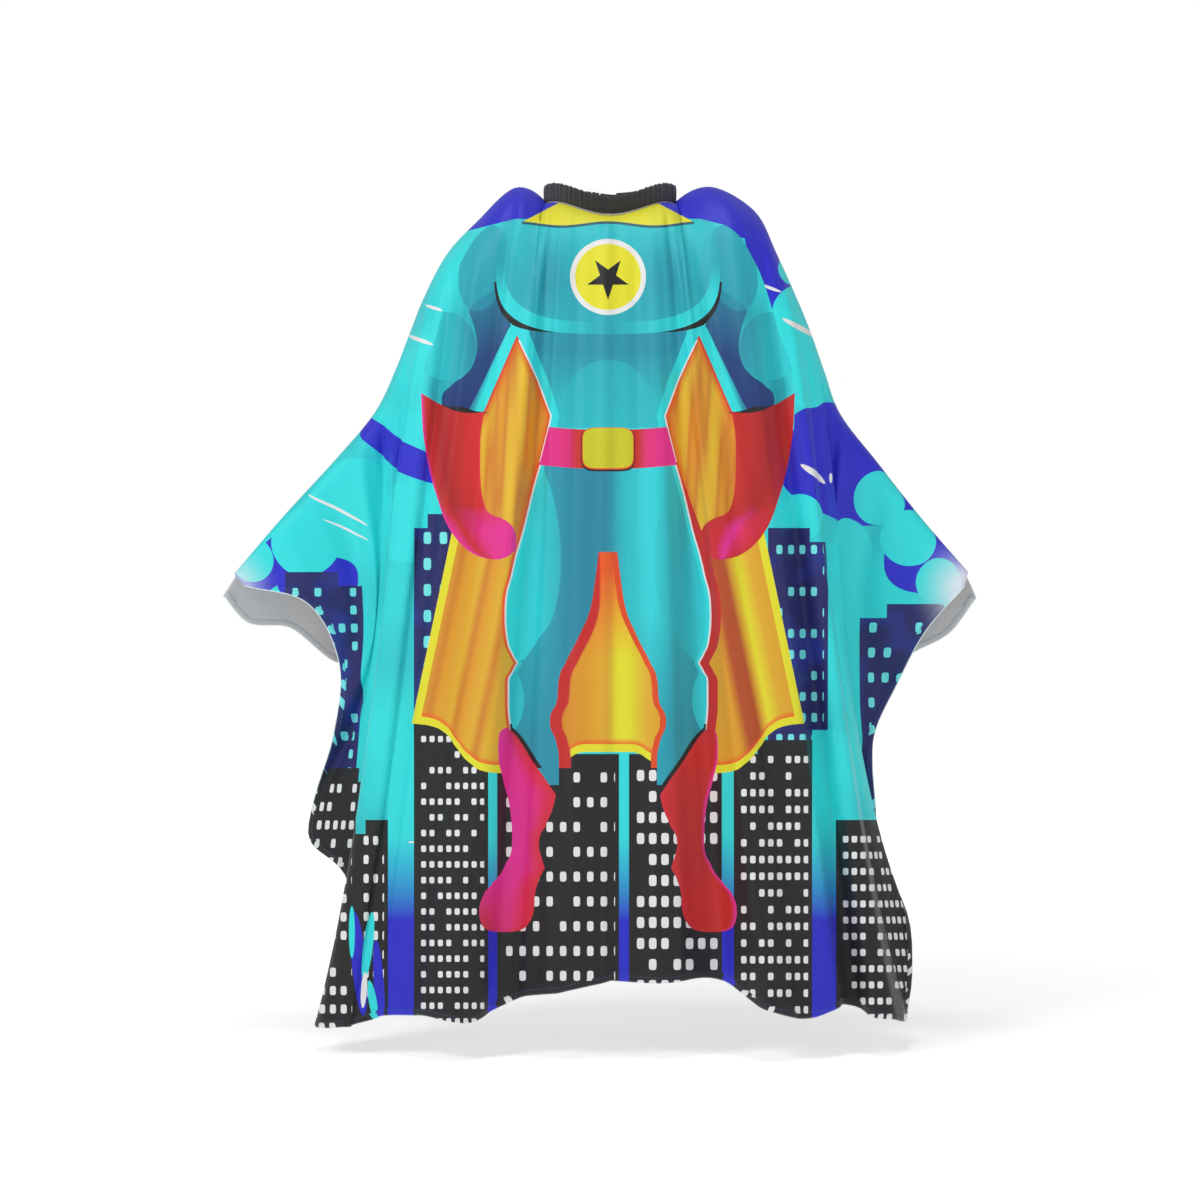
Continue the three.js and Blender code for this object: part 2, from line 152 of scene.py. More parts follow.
def drape(half, side, station, share):
    """Points of the smooth drape at arrays of stations and of shares of the way from ridge to hem."""
    front = half == "front"
    depth = -1 if front else 1
    first = 0 if front else NAPE_EDGE
    degrees = first + (90 - first) * station / NECK_STATIONS
    on_neck = neck_point(np.minimum(degrees, 90) if front else np.maximum(degrees, 90), CLOTH_OFFSET)
    on_ridge = read_off(RIDGE[side], station - NECK_STATIONS)
    start = np.where((station < NECK_STATIONS)[..., None], on_neck, on_ridge)
    end = read_off((FRONT_HEM if front else BACK_HEM)[side], station)
    reach = read_off(FRONT_REACH if front else BACK_REACH, station)
    tuck = read_off(FRONT_TUCK if front else BACK_TUCK, station)
    fall = share**2 * (1 + LEVEL_START) / (share + LEVEL_START)
    out = (1 - np.exp(-share / TURN_SHARE)) * (1 - share) ** SETTLE_POWER
    bulge = reach - depth * start[..., 1]
    x = start[..., 0] + (end[..., 0] - start[..., 0]) * share - tuck * 4 * share**2 * (1 - share)
    y = start[..., 1] + (end[..., 1] - start[..., 1]) * share + depth * bulge * out
    z = start[..., 2] + (end[..., 2] - start[..., 2]) * fall
    return np.stack([x if side == "right" else -x, y, z], axis=-1)


# ---- Folds -------------------------------------------------------------------
# Each fold runs down the cloth: station at the top, station at the hem, width in stations, height in mm
# (below zero for a valley), and the shares of the drop between which it is at its full height.
FRONT_FOLDS = [
    (-12.0, -12.2, 0.35, 4, 0.3, 1), (-11.2, -10.9, 0.4, -5, 0.30, 1), (-10.3, -10.2, 0.4, 6, 0.2, 1),
    (-9.4, -9.3, 0.45, -8, 0.25, 1), (-8.4, -8.3, 0.4, 9, 0.4, 1), (-7.4, -7.4, 0.3, -8, 0.5, 1),
    (-6.5, -6.6, 0.4, 10, 0.35, 1), (-5.5, -5.8, 0.32, -9, 0.25, 1), (-4.6, -5.0, 0.32, 8, 0.15, 1),
    (-3.9, -4.3, 0.30, -8, 0.12, 1), (-2.9, -3.3, 0.30, 8, 0.34, 1), (-2.1, -2.5, 0.22, -5, 0.12, 1),
    (-1.5, -1.8, 0.2, 5, 0.12, 1), (-0.9, -1.1, 0.2, -5, 0.2, 1), (-0.1, -0.2, 0.26, 6, 0.05, 1),
    (0.7, 0.6, 0.2, -5, 0.12, 1), (1.3, 1.3, 0.2, 5, 0.22, 1), (1.9, 2.1, 0.22, -5, 0.12, 1),
    (2.7, 3.1, 0.28, 8, 0.34, 1), (3.3, 3.8, 0.26, -8, 0.12, 1), (4.2, 4.6, 0.28, 8, 0.15, 1),
    (5.0, 5.3, 0.32, -9, 0.25, 1), (5.9, 6.1, 0.35, 9, 0.3, 1), (6.9, 7.0, 0.35, -9, 0.4, 1),
    (7.8, 7.8, 0.4, 9, 0.4, 1), (8.9, 8.7, 0.45, -8, 0.35, 1), (9.9, 9.8, 0.4, 6, 0.25, 1),
    (11.0, 10.8, 0.4, -5, 0.3, 1), (12.0, 12.2, 0.35, 4, 0.3, 1),
    # short creases that run out from the neck and the shoulders
    (-2.4, -3.6, 0.18, 3.5, 0.12, 0.42), (-1.9, -2.8, 0.14, 3, 0.04, 0.3),
    (-1.2, -1.9, 0.12, 2.5, 0.03, 0.25),
    (2.1, 3.7, 0.17, 4.5, 0.1, 0.42), (1.6, 2.5, 0.13, 2.5, 0.04, 0.28), (0.9, 1.5, 0.12, -2.5, 0.03, 0.3),
    (3.3, 4.6, 0.12, 3.5, 0.04, 0.42), (4.4, 5.4, 0.14, 3, 0.05, 0.4), (-3.6, -4.8, 0.12, 3.5, 0.04, 0.42),
    (-4.9, -5.9, 0.14, 3, 0.05, 0.4), (-6.3, -7.3, 0.14, 3, 0.1, 0.5), (6.0, 7.0, 0.14, 3.5, 0.1, 0.5),
    (8.0, 8.9, 0.14, 3, 0.1, 0.6), (-8.0, -8.9, 0.14, 3, 0.1, 0.6),
]
BACK_FOLDS = [
    (0.7, 0.8, 0.28, 6, 0.1, 1), (1.5, 1.6, 0.26, -7, 0.12, 1), (2.4, 2.5, 0.28, 7, 0.08, 1),
    (3.3, 3.5, 0.3, -8, 0.12, 1), (4.3, 4.4, 0.32, 8, 0.2, 1), (5.4, 5.5, 0.36, -8, 0.25, 1),
    (6.5, 6.6, 0.38, 7, 0.3, 1), (7.7, 7.8, 0.4, -6, 0.35, 1), (9.0, 9.1, 0.4, 5, 0.4, 1),
    (10.4, 10.5, 0.4, -4, 0.4, 1), (2.6, 3.6, 0.1, 3, 0.04, 0.4), (3.8, 4.8, 0.12, 3, 0.06, 0.45),
]
FOLD_ENTRY, CREASE_ENTRY = 0.16, 0.06
FOLD_SHARPNESS = 1.6
# Share of a fold's width that it has at the top, and how much more it has at the hem.
FOLD_WIDTH, FOLD_WIDENING = 0.8, 0.5
# Cloth that stands up beside the neck band: station, width in stations and height in mm.
NECK_PUFFS = [(-3.3, 0.8, 5.5), (3.3, 0.8, 5)]
PUFF_SHARE = 0.012
CREASES = 90
CREASE_SEED = 11


def small_creases(low, high):
    """Shallow uneven creases scattered over the cloth, the same in every run."""
    random = np.random.default_rng(CREASE_SEED)
    creases = []
    for _ in range(CREASES):
        top = random.uniform(low, high)
        start = random.uniform(0.25, 0.75)
        width, rise, length = random.uniform(0.05, 0.13), random.uniform(-1.5, 1.5), random.uniform(0.12, 0.4)
        creases.append((top, top + random.uniform(-0.5, 0.5), width, rise, start, start + length))
    return creases


def smooth_step(value):
    value = np.clip(value, 0, 1)
    return value * value * (3 - 2 * value)


def fold_height(folds, station, share):
    """How far the folds stand out of the smooth drape, in mm."""
    height = np.zeros_like(station)
    for top, bottom, width, rise, start, end in folds:
        centre = top + (bottom - top) * share
        shape = fold_shape(station, centre, width * (FOLD_WIDTH + FOLD_WIDENING * share))
        if end == 1:
            entry, fade = smooth_step(share / start), 1
        else:
            entry = smooth_step((share - start) / CREASE_ENTRY + 0.5)
            fade = smooth_step((end - share) / FOLD_ENTRY)
        height += rise * shape * entry * fade
    return height


def fold_shape(station, centre, width):
    return 1 / np.cosh((station - centre) / width * FOLD_SHARPNESS) ** 2


def puff_height(station, share):
    """How far the cloth beside the neck band stands up, in mm. It is nothing on the neckline itself."""
    near = share / PUFF_SHARE * np.exp(1 - share / PUFF_SHARE)
    return sum(rise * near * fold_shape(station, centre, width) for centre, width, rise in NECK_PUFFS)


# ---- Cloth mesh --------------------------------------------------------------
STATION_STEP = 1 / 8
FRONT_ROWS = 110
BACK_ROWS = 70
ROW_CROWDING = 1.35
CLOTH_THICKNESS = 0.5
WELD_DISTANCE = 0.02
# Behind the neck the print is moved on, so that the collar stays at the front.
NAPE_LIFT, NAPE_BLEND = 50, 30
# The print runs on with half of the depth past SIDE_DEPTH, where the cloth is this far out or more.
SIDE_DEPTH, SIDE_SPREAD = -110, 0.5
SIDE_FROM, SIDE_BLEND = 195, 50


def unit(vectors):
    return vectors / np.maximum(np.linalg.norm(vectors, axis=-1, keepdims=True), 1e-9)


def grid_normals(points):
    return unit(np.cross(np.gradient(points, axis=0), np.gradient(points, axis=1)))


class Cloth:
    """One half of the cape as a grid: front runs from the left hand to the right, a back half from the slit
    to the hand. points are in mm, outwards is the direction out of the cape."""

    def __init__(self, half, side=None, rows=None):
        self.half, self.side = half, side
        low = -LAST if half == "front" else 0
        self.stations = np.linspace(low, LAST, round((LAST - low) / STATION_STEP) + 1)
        shares = np.linspace(0, 1, rows + 1) ** ROW_CROWDING
        station, share = np.meshgrid(self.stations, shares, indexing="ij")
        if half == "front":
            left = drape("front", "left", np.maximum(-station, 0), share)
            right = drape("front", "right", np.maximum(station, 0), share)
            smooth = np.where((station < 0)[..., None], left, right)
            turn, folds = -1, FRONT_FOLDS
        else:
            smooth = drape("back", side, station, share)
            turn, folds = (1 if side == "right" else -1), BACK_FOLDS
        rise = fold_height(folds + small_creases(low, LAST), station, share)
        if half == "front":
            rise += puff_height(station, share)
        self.points = smooth + turn * grid_normals(smooth) * rise[..., None]
        self.outwards = turn * grid_normals(self.points)
        self.print_at = self.print_coordinates()

    def column(self, station):
        return int(np.argmin(np.abs(self.stations - station)))

    def print_coordinates(self):
        """Where each point lies on the print, in mm: the front is printed as it is seen from the camera, but
        at its sides the print also runs on with the depth of the cloth. The back goes on from the ridge."""
        if self.half == "front":
            depth = -CAMERA[1] / (self.points[..., 1] - CAMERA[1])
            p = CAMERA[0] + (self.points[..., 0] - CAMERA[0]) * depth
            q = CAMERA[2] + (self.points[..., 2] - CAMERA[2]) * depth
            behind = np.maximum(self.points[..., 1] - SIDE_DEPTH, 0)
            p = p + np.sign(p) * behind * SIDE_SPREAD * smooth_step((np.abs(p) - SIDE_FROM) / SIDE_BLEND)
            return np.stack([p, q], axis=-1)
        steps = np.linalg.norm(np.diff(self.points, axis=1), axis=-1)
        length = np.concatenate([np.zeros((len(self.points), 1)), np.cumsum(steps, axis=1)], axis=1)
        start = self.points[:, :1]
        nape = NAPE_LIFT * smooth_step((NECK_HALF_WIDTH - np.abs(start[..., 0])) / NAPE_BLEND)
        return np.stack([self.points[..., 0], start[..., 2] + nape + length], axis=-1)


def grid_faces(columns, rows, start, flip):
    i, j = np.meshgrid(np.arange(columns - 1), np.arange(rows - 1), indexing="ij")
    a = (start + i * rows + j).ravel()
    corners = [a, a + rows, a + rows + 1, a + 1]
    return np.stack(corners[::-1] if flip else corners, axis=-1)


def mesh_object(name, points, faces, uvs=None):
    """A smooth-shaded mesh object from points in mm, faces and named maps of per-point coordinates."""
    mesh = bpy.data.meshes.new(name)
    faces = faces.tolist() if isinstance(faces, np.ndarray) else faces
    mesh.from_pydata(place(points).tolist(), [], faces)
    corner = np.zeros(len(mesh.loops), int)
    mesh.loops.foreach_get("vertex_index", corner)
    for key, values in (uvs or {}).items():
        layer = mesh.uv_layers.new(name=key)
        layer.data.foreach_set("uv", (np.asarray(values, float)[corner] * MM).ravel())
    mesh.shade_smooth()
    obj = bpy.data.objects.new(name, mesh)
    bpy.context.collection.objects.link(obj)
    return obj


def build_cloth(halves):
    """The whole cape cloth as one sheet, welded along the ridge, 0.5 mm thick, with its inside face on a
    material slot of its own."""
    points, faces, prints, start = [], [], [], 0
    for cloth in halves:
        columns, rows = cloth.points.shape[:2]
        points.append(cloth.points.reshape(-1, 3))
        prints.append(cloth.print_at.reshape(-1, 2))
        flip = cloth.half == "front" or cloth.side == "left"
        faces.append(grid_faces(columns, rows, start, flip))
        start += columns * rows
    points, faces, prints = (np.concatenate(parts) for parts in (points, faces, prints))
    obj = mesh_object("cape_cloth", points, faces, {"print": prints})
    edit_mesh(obj, lambda bm: bmesh.ops.remove_doubles(bm, verts=bm.verts, dist=WELD_DISTANCE * MM))
    thicken(obj, CLOTH_THICKNESS, inside_slot=True)
    return obj


def thicken(obj, thickness, inside_slot=False):
    solid = obj.modifiers.new("thickness", "SOLIDIFY")
    solid.thickness = thickness * MM
    solid.offset = 0
    solid.use_even_offset = False
    if inside_slot:
        solid.material_offset = 1


def lengths_along(line):
    """How far along a line of points each of them lies."""
    return np.concatenate([[0], np.cumsum(np.linalg.norm(np.diff(line, axis=0), axis=1))])


def edit_mesh(obj, change):
    bm = bmesh.new()
    bm.from_mesh(obj.data)
    change(bm)
    bm.to_mesh(obj.data)
    bm.free()
    return obj


def outward_faces(obj):
    """Turns an object's faces so that they all point outwards."""
    return edit_mesh(obj, lambda bm: bmesh.ops.recalc_face_normals(bm, faces=bm.faces))


def tube(name, rings, maps):
    """A closed tube through rings of points, with maps of coordinates at the same points."""
    count, around = rings.shape[:2]
    faces = []
    for i in range(count - 1):
        for k in range(around):
            a, b = i * around + k, i * around + (k + 1) % around
            faces.append((a, b, b + around, a + around))
    faces.append(tuple(range(around))[::-1])
    faces.append(tuple((count - 1) * around + k for k in range(around)))
    maps = {key: values.reshape(-1, 2) for key, values in maps.items()}
    return outward_faces(mesh_object(name, rings.reshape(-1, 3), faces, maps))


def each_pair(rows, columns):
    """A grid of (row value, column value) pairs."""
    return np.stack(np.meshgrid(rows, columns, indexing="ij"), axis=-1)


def finish(obj, material, body, node=None):
    """Gives a piece its material and its body, and hides the CAD node it replaces."""
    obj.data.materials.append(material)
    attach(obj, body)
    if node:
        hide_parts(node)
    return obj


# ---- Hems --------------------------------------------------------------------
# A doubled edge in section: how far in from the edge of the cloth, and how far out of its middle.
HALF_HEM = 0.65
HEM_SECTION = [(-0.4, 0.0), (-0.15, 0.45), (0.5, HALF_HEM), (5.3, HALF_HEM), (5.9, 0.5), (6.1, 0.2)]
HEM_SECTION += [(x, -y) for x, y in HEM_SECTION[:0:-1]]
STITCH_INSET = 4.7


class EdgeLine:
    """An edge of the cloth: its points, the directions into the cloth and out of the cape, and the print."""

    def __init__(self, points, inner, normals, prints, inner_prints):
        self.points = points
        along = unit(np.gradient(points, axis=0))
        inwards = inner - points
        inwards = inwards - along * np.sum(inwards * along, axis=1, keepdims=True)
        self.inwards = unit(inwards)
        self.normals = unit(np.cross(along, self.inwards))
        self.normals *= np.sign(np.sum(self.normals * normals, axis=1, keepdims=True))
        reach = np.linalg.norm(inner - points, axis=1, keepdims=True)
        self.prints = prints
        self.print_slope = (inner_prints - prints) / reach

    def at(self, inset, out):
        return self.points + self.inwards * inset + self.normals * out


def lower_edge(cloth, low, high):
    span = slice(cloth.column(low), cloth.column(high) + 1)
    points, normals, prints = cloth.points[span], cloth.outwards[span], cloth.print_at[span]
    return EdgeLine(points[:, -1], points[:, -3], normals[:, -1], prints[:, -1], prints[:, -3])


def slit_edge(cloth):
    return EdgeLine(
        cloth.points[0], cloth.points[2], cloth.outwards[0], cloth.print_at[0], cloth.print_at[2]
    )


def build_hem(name, edge, node, material):
    rings = np.stack([edge.at(inset, out) for inset, out in HEM_SECTION], axis=1)
    insets = np.array([inset for inset, _ in HEM_SECTION])
    prints = edge.prints[:, None] + edge.print_slope[:, None] * insets[None, :, None]
    # How far in each point lies, from 1 up on the outer face and from -1 down on the inner one.
    faces = np.array([(1 + inset) * (-1 if out < 0 else 1) for inset, out in HEM_SECTION])
    obj = tube(name, rings, {"print": prints, "edge": each_pair(lengths_along(edge.points), faces)})
    return finish(obj, material, "cape", node)


# ---- Stitching ---------------------------------------------------------------
STITCH_PITCH = 3.0
STITCH_LENGTH = 2.2
# Half the thickness of the thread, and how deep the ends of a stitch sink, in such halves.
THREAD = 0.24
STITCH_SINK = 0.7
STITCH_LIFT = 0.05


def points_at(at, along, line):
    """Points of a line, given how far along it its own points lie."""
    return np.stack([np.interp(at, along, line[:, i]) for i in range(3)], axis=1)


def stitch_line(line, normals):
    """Points of a row of stitches along a line: six to a stitch."""
    along = lengths_along(line)
    at = np.arange(STITCH_PITCH / 2, along[-1], STITCH_PITCH)
    centre, ahead, behind = (points_at(at + shift, along, line) for shift in (0, 0.5, -0.5))
    normal = unit(points_at(at, along, normals))
    along_thread = unit(ahead - behind)
    side = np.cross(along_thread, normal)
    half = STITCH_LENGTH / 2
    sink = normal * THREAD * STITCH_SINK
    corners = [
        centre - along_thread * half - sink,
        centre + along_thread * half - sink,
        centre + normal * THREAD,
        centre + side * THREAD,
        centre - normal * THREAD,
        centre - side * THREAD,
    ]
    return np.stack(corners, axis=1).reshape(-1, 3)


def build_stitches(name, lines, body, material):
    points = np.concatenate([stitch_line(line, normals) for line, normals in lines])
    faces = []
    for start in range(0, len(points), 6):
        for k in range(4):
            a, b = start + 2 + k, start + 2 + (k + 1) % 4
            faces += [(start, a, b), (start + 1, b, a)]
    return finish(outward_faces(mesh_object(name, points, faces)), material, body)


def hem_stitch_lines(edge):
    lift = HALF_HEM + STITCH_LIFT
    return [
        (edge.at(STITCH_INSET, lift), edge.normals),
        (edge.at(STITCH_INSET, -lift), -edge.normals),
    ]


# ---- Neck band, binding and tab ----------------------------------------------
BAND_FROM, BAND_TO = -170, 174
BAND_STEP = 0.8
NECK_LINE_POINTS = 240
# Where the map of the band's cloth is measured round the neck.
AROUND_RADIUS = NECK_HALF_WIDTH + 3
# The gathers die away towards the snaps: their middle, how far from it, and over how many degrees.
SNAPS_AT, SNAPS_REACH, GATHER_FADE = 155, 22, 8
GATHERS = [(0.5, 67, 1), (0.35, 98, 2.1), (0.15, 151, 1)]
GATHER_SEED = 0.6
# Sections as offset outwards and height above the neckline. The cover folds over the top of the elastic.
COVER_SECTION = [(2.9, 2.3), (4.0, 2.3), (4.2, 3.4), (4.25, 7), (4.2, 11), (4.2, 15), (4.0, 18), (3.2, 19.5)]
COVER_SECTION += [(2.1, 19.9), (1.0, 19.5), (0.3, 18.2), (0.2, 16), (0.3, 13.4), (1.1, 13.4), (1.2, 17.4)]
COVER_SECTION += [(2.1, 18.8), (3.0, 17.4), (3.0, 9)]
ELASTIC_SECTION = [(1.5, 2.7), (2.6, 2.7), (2.6, 16.8), (2.1, 17.6), (1.5, 16.8)]
LINING_SECTION = [(0.1, 2.6), (1.2, 2.6), (1.2, 13.0), (0.1, 13.0), (-0.1, 8)]
BINDING_SECTION = [(-1.0, -2.9), (-0.2, -3.0), (0.9, -1.2), (2.0, 0.35), (3.6, 0.3), (4.2, 0.9), (3.6, 1.9)]
BINDING_SECTION += [(2.0, 2.15), (0.2, 2.2), (-0.8, 1.6), (-1.1, 0.2), (-1.1, -1.4)]


def gather(degrees):
    """Small uneven ripples round the neck, from -1 to 1, which die away where the snaps are."""
    a = np.radians(degrees)
    ripple = sum(height * np.sin(count * a + shift * GATHER_SEED) for height, count, shift in GATHERS)
    return ripple * np.clip((np.abs(degrees - SNAPS_AT) - SNAPS_REACH) / GATHER_FADE, 0, 1)


def swept_band(name, section, ripple, crest, node, material):
    """A section swept round the neck. Ripples push it in and out by ripple, most at its top and on its outer
    face, and its top up by crest."""
    degrees = np.linspace(BAND_FROM, BAND_TO, round((BAND_TO - BAND_FROM) / BAND_STEP) + 1)
    waves = gather(degrees)
    top = max(height for _, height in section)
    columns = []
    for offset, height in section:
        share = max(0.0, height / top)
        out = offset + waves * ripple * (0.3 + 0.7 * share) * (1 if offset > 2 else 0.5)
        rise = height + waves * crest * max(0.0, share - 0.6) * 2.5
        columns.append(neck_point(degrees, out, rise))
    edge = each_pair(np.radians(degrees) * AROUND_RADIUS, [height for _, height in section])
    obj = tube(name, np.stack(columns, axis=1), {"edge": edge})
    return finish(obj, material, "cape", node)


def away_from_neck(degrees):
    a = np.radians(degrees)
    return np.stack([np.sin(a), -np.cos(a), np.zeros_like(a)], axis=-1)


def neck_line(offset, height, face=1):
    """A line round the neck with directions away from it, for a row of stitches."""
    degrees = np.linspace(BAND_FROM + 1, BAND_TO - 1, NECK_LINE_POINTS)
    return neck_point(degrees, offset, height), face * away_from_neck(degrees)


TAB_ROOT, TAB_TIP, TAB_RISE_ENDS = 188.6, 131, 176
TAB_ROOT_OFFSET, TAB_LIFT = 0.6, 6.9
TAB_LOW, TAB_HIGH = 4.2, 19.2
TAB_LAYERS = {"tab_cover": (1.15, 2.2), "tab_lining": (0.0, 1.05)}
TAB_END_DEGREES = 6.5
TAB_MIDDLE, TAB_HALF = (TAB_LOW + TAB_HIGH) / 2, (TAB_HIGH - TAB_LOW) / 2
# A layer's section: out from 0 to 1 through its thickness, and up from -1 to 1 over the tab's height.
TAB_SECTION = [(0.1, -0.92), (0.5, -1.0), (0.9, -0.92), (1.0, -0.7), (1.0, 0.0), (1.0, 0.7), (0.9, 0.92)]
TAB_SECTION += [(0.5, 1.0), (0.1, 0.92), (0.0, 0.7), (0.0, 0.0), (0.0, -0.7)]
TAB_STITCH_INSET = 1.6
TAB_RINGS, TAB_CROWDING = 90, 1.6
TAB_BLUNTNESS = 0.015


def tab_offset(degrees):
    share = (TAB_ROOT - degrees) / (TAB_ROOT - TAB_RISE_ENDS)
    return TAB_ROOT_OFFSET + TAB_LIFT * smooth_step(share)


def tab_half_height(degrees, inset=0.0):
    """Half the height of the tab, which ends in a round tip."""
    near_tip = np.clip(1 - (degrees - TAB_TIP) / TAB_END_DEGREES, 0, 1)
    return TAB_HALF * np.sqrt(np.maximum(1 - near_tip**2, TAB_BLUNTNESS)) - inset


def build_tab_layer(name, material):
    inner, outer = TAB_LAYERS[name]
    degrees = TAB_TIP + (TAB_ROOT - TAB_TIP) * np.linspace(0, 1, TAB_RINGS) ** TAB_CROWDING
    half, offset = tab_half_height(degrees), tab_offset(degrees) + inner
    columns = [
        neck_point(degrees, offset + (outer - inner) * out, TAB_MIDDLE + half * up) for out, up in TAB_SECTION
    ]
    edge = each_pair(np.radians(degrees) * AROUND_RADIUS, [up * TAB_HALF for _, up in TAB_SECTION])
    obj = tube(name + "_cloth", np.stack(columns, axis=1), {"edge": edge})
    return finish(obj, material, "band_tab", name)


def tab_stitch_lines():
    """Stitches all round the tab, a little inside its edge, on its outer face."""
    degrees = np.linspace(TAB_ROOT - 3, TAB_TIP + 1.8, 70)
    half = np.maximum(tab_half_height(degrees, TAB_STITCH_INSET), 0)
    out = tab_offset(degrees) + TAB_LAYERS["tab_cover"][1] + STITCH_LIFT
    upper, lower = (neck_point(degrees, out, TAB_MIDDLE + rise) for rise in (half, -half))
    normal = away_from_neck(degrees)
    return [(np.concatenate([upper, lower[::-1]]), np.concatenate([normal, normal[::-1]]))]


# ---- Snap fasteners ----------------------------------------------------------
SOCKET_ANGLES = [139, 150, 161, 172]
STUD_ANGLES = [139, 161]
SNAP_HEIGHT = 11.6
SHANK_RADIUS = 0.9
BAND_INSIDE, BAND_OUTSIDE = -0.4, 4.4
# Profiles as radius and height from the face that lies on the cloth.
CAP_PROFILE = [(0, -1), (SHANK_RADIUS, -1), (SHANK_RADIUS, 0), (4.2, 0), (4.38, 0.1), (4.4, 0.3), (4.25, 0.5)]
CAP_PROFILE += [(3.7, 0.72), (3.1, 0.86), (2.9, 0.82), (2.7, 0.88), (1.6, 0.97), (0, 1.0)]
SOCKET_PROFILE = [(1.3, 0), (4.2, 0), (4.38, 0.12), (4.4, 0.8), (4.2, 1.2), (3.8, 1.55), (3.5, 1.6)]
SOCKET_PROFILE += [(2.7, 1.6), (2.45, 1.5), (2.4, 1.3), (2.4, 0.5), (1.3, 0.5)]
STUD_PROFILE = [(0, 0), (3.8, 0), (3.96, 0.15), (3.96, 0.5), (3.8, 0.66), (1.6, 0.78), (1.4, 0.95)]
STUD_PROFILE += [(1.36, 1.3), (1.44, 1.55), (1.38, 1.75), (1.0, 1.92), (0, 1.95)]
LATHE_STEPS = 40
UP = np.array([0, 0, 1.0])
# Where the stud's face lies from the tab's inner face, how far on the cap's lies, and the shank between them.
STUD_FACE, TAB_THICKNESS, TAB_SHANK = -0.4, 3.0, 2.2


def build_snap_piece(name, profile, degrees, offset, turn, body, material, shank=1.0):
    """A turned piece, with its axis pointing out from the neck, or in towards it where turn is -1."""
    axis = away_from_neck(degrees) * turn
    side = np.array([-axis[1], axis[0], 0])
    centre = neck_point(np.array([float(degrees)]), offset, SNAP_HEIGHT)[0]
    turns = np.linspace(0, 2 * math.pi, LATHE_STEPS, endpoint=False)
    points, rings, faces = [], [], []
    for radius, height in profile:
        middle = centre + axis * (height * shank if height < 0 else height)
        around = turns if radius else turns[:1]
        rings.append(range(len(points), len(points) + len(around)))
        points += [middle + (side * math.cos(t) + UP * math.sin(t)) * radius for t in around]
    # A profile that starts off the axis is a ring's, and closes on itself.
    pairs = list(zip(rings, rings[1:])) + ([(rings[-1], rings[0])] if profile[0][0] else [])
    for low, high in pairs:
        for k in range(LATHE_STEPS):
            corners = ((low, k), (low, k + 1), (high, k + 1), (high, k))
            faces.append(tuple(dict.fromkeys(ring[i % len(ring)] for ring, i in corners)))
    obj = outward_faces(mesh_object("snap_" + name, points, faces))
    return finish(obj, material, body, name)


def build_snaps(material):
    shank = BAND_OUTSIDE - BAND_INSIDE
    for i, degrees in enumerate(SOCKET_ANGLES, 1):
        build_snap_piece(f"socket_{i}", SOCKET_PROFILE, degrees, BAND_OUTSIDE, 1, "cape", material)
        build_snap_piece(f"socket_cap_{i}", CAP_PROFILE, degrees, BAND_INSIDE, -1, "cape", material, shank)
    for i, degrees in enumerate(STUD_ANGLES, 1):
        inside = float(tab_offset(float(degrees))) + STUD_FACE
        outside = inside + TAB_THICKNESS
        build_snap_piece(f"stud_{i}", STUD_PROFILE, degrees, inside, -1, "band_tab", material)
        build_snap_piece(f"stud_cap_{i}", CAP_PROFILE, degrees, outside, 1, "band_tab", material, TAB_SHANK)


# ---- Care label --------------------------------------------------------------
LABEL_STATIONS = (3.4, 4.4)
LABEL_SHARES = (0.72, 0.79)
LABEL_ROWS = 12
LABEL_CELL = 4.0
LABEL_THICKNESS = 0.3
# How far the label stands off the cloth at its top, and how much more at its bottom.
LABEL_GAP, LABEL_SWING = 0.8, 1.6


def build_label(cloth, material):
    """A blank satin tag, sewn down along its top edge inside the left back."""
    columns = slice(cloth.column(LABEL_STATIONS[0]), cloth.column(LABEL_STATIONS[1]) + 1)
    shares = np.linspace(0, 1, BACK_ROWS + 1) ** ROW_CROWDING
    target = np.linspace(*LABEL_SHARES, LABEL_ROWS)
    points = sample_rows(cloth.points[columns], shares, target)
    normals = unit(sample_rows(cloth.outwards[columns], shares, target))
    lift = LABEL_GAP + LABEL_SWING * np.linspace(0, 1, LABEL_ROWS) ** 2
    surface = points - normals * lift[None, :, None]
    across, down = surface.shape[:2]
    edge = each_pair(np.arange(across), np.arange(down)).reshape(-1, 2) * LABEL_CELL
    faces = grid_faces(across, down, 0, False)
    obj = mesh_object("care_label_satin", surface.reshape(-1, 3), faces, {"edge": edge})
    thicken(obj, LABEL_THICKNESS)
    finish(obj, material, "cape", "care_label")
    return obj, [(surface[:, 0] - normals[:, 0] * LABEL_THICKNESS, -normals[:, 0])]


def sample_rows(grid, shares, target):
    """Points of a grid's columns at other shares of the way down."""
    flat = [[np.interp(target, shares, column[:, i]) for i in range(3)] for column in grid]
    return np.array(flat).transpose(0, 2, 1)


# ---- Node tools --------------------------------------------------------------
def fill(tree, slot, value):
    """Sets a socket to a plain value, or links it to a Value or to another socket."""
    value = getattr(value, "socket", value)
    if isinstance(value, bpy.types.NodeSocket):
        tree.links.new(value, slot)
    else:
        slot.default_value = value


def add_node(tree, kind, inputs, **settings):
    """A new shader node. inputs is what fills its sockets, by name or number."""
    node = tree.nodes.new("ShaderNode" + kind)
    for key, value in settings.items():
        setattr(node, key, value)
    for key, value in inputs.items():
        fill(tree, node.inputs[key], value)
    return node


def parts_of(tree, vector):
    """The first two coordinates of a vector socket."""
    split = add_node(tree, "SeparateXYZ", {0: vector})
    return [Value(tree, split.outputs[i]) for i in range(2)]


def joined(p, q, seed=0.0):
    return add_node(p.tree, "CombineXYZ", {0: p, 1: q, 2: seed}).outputs[0]


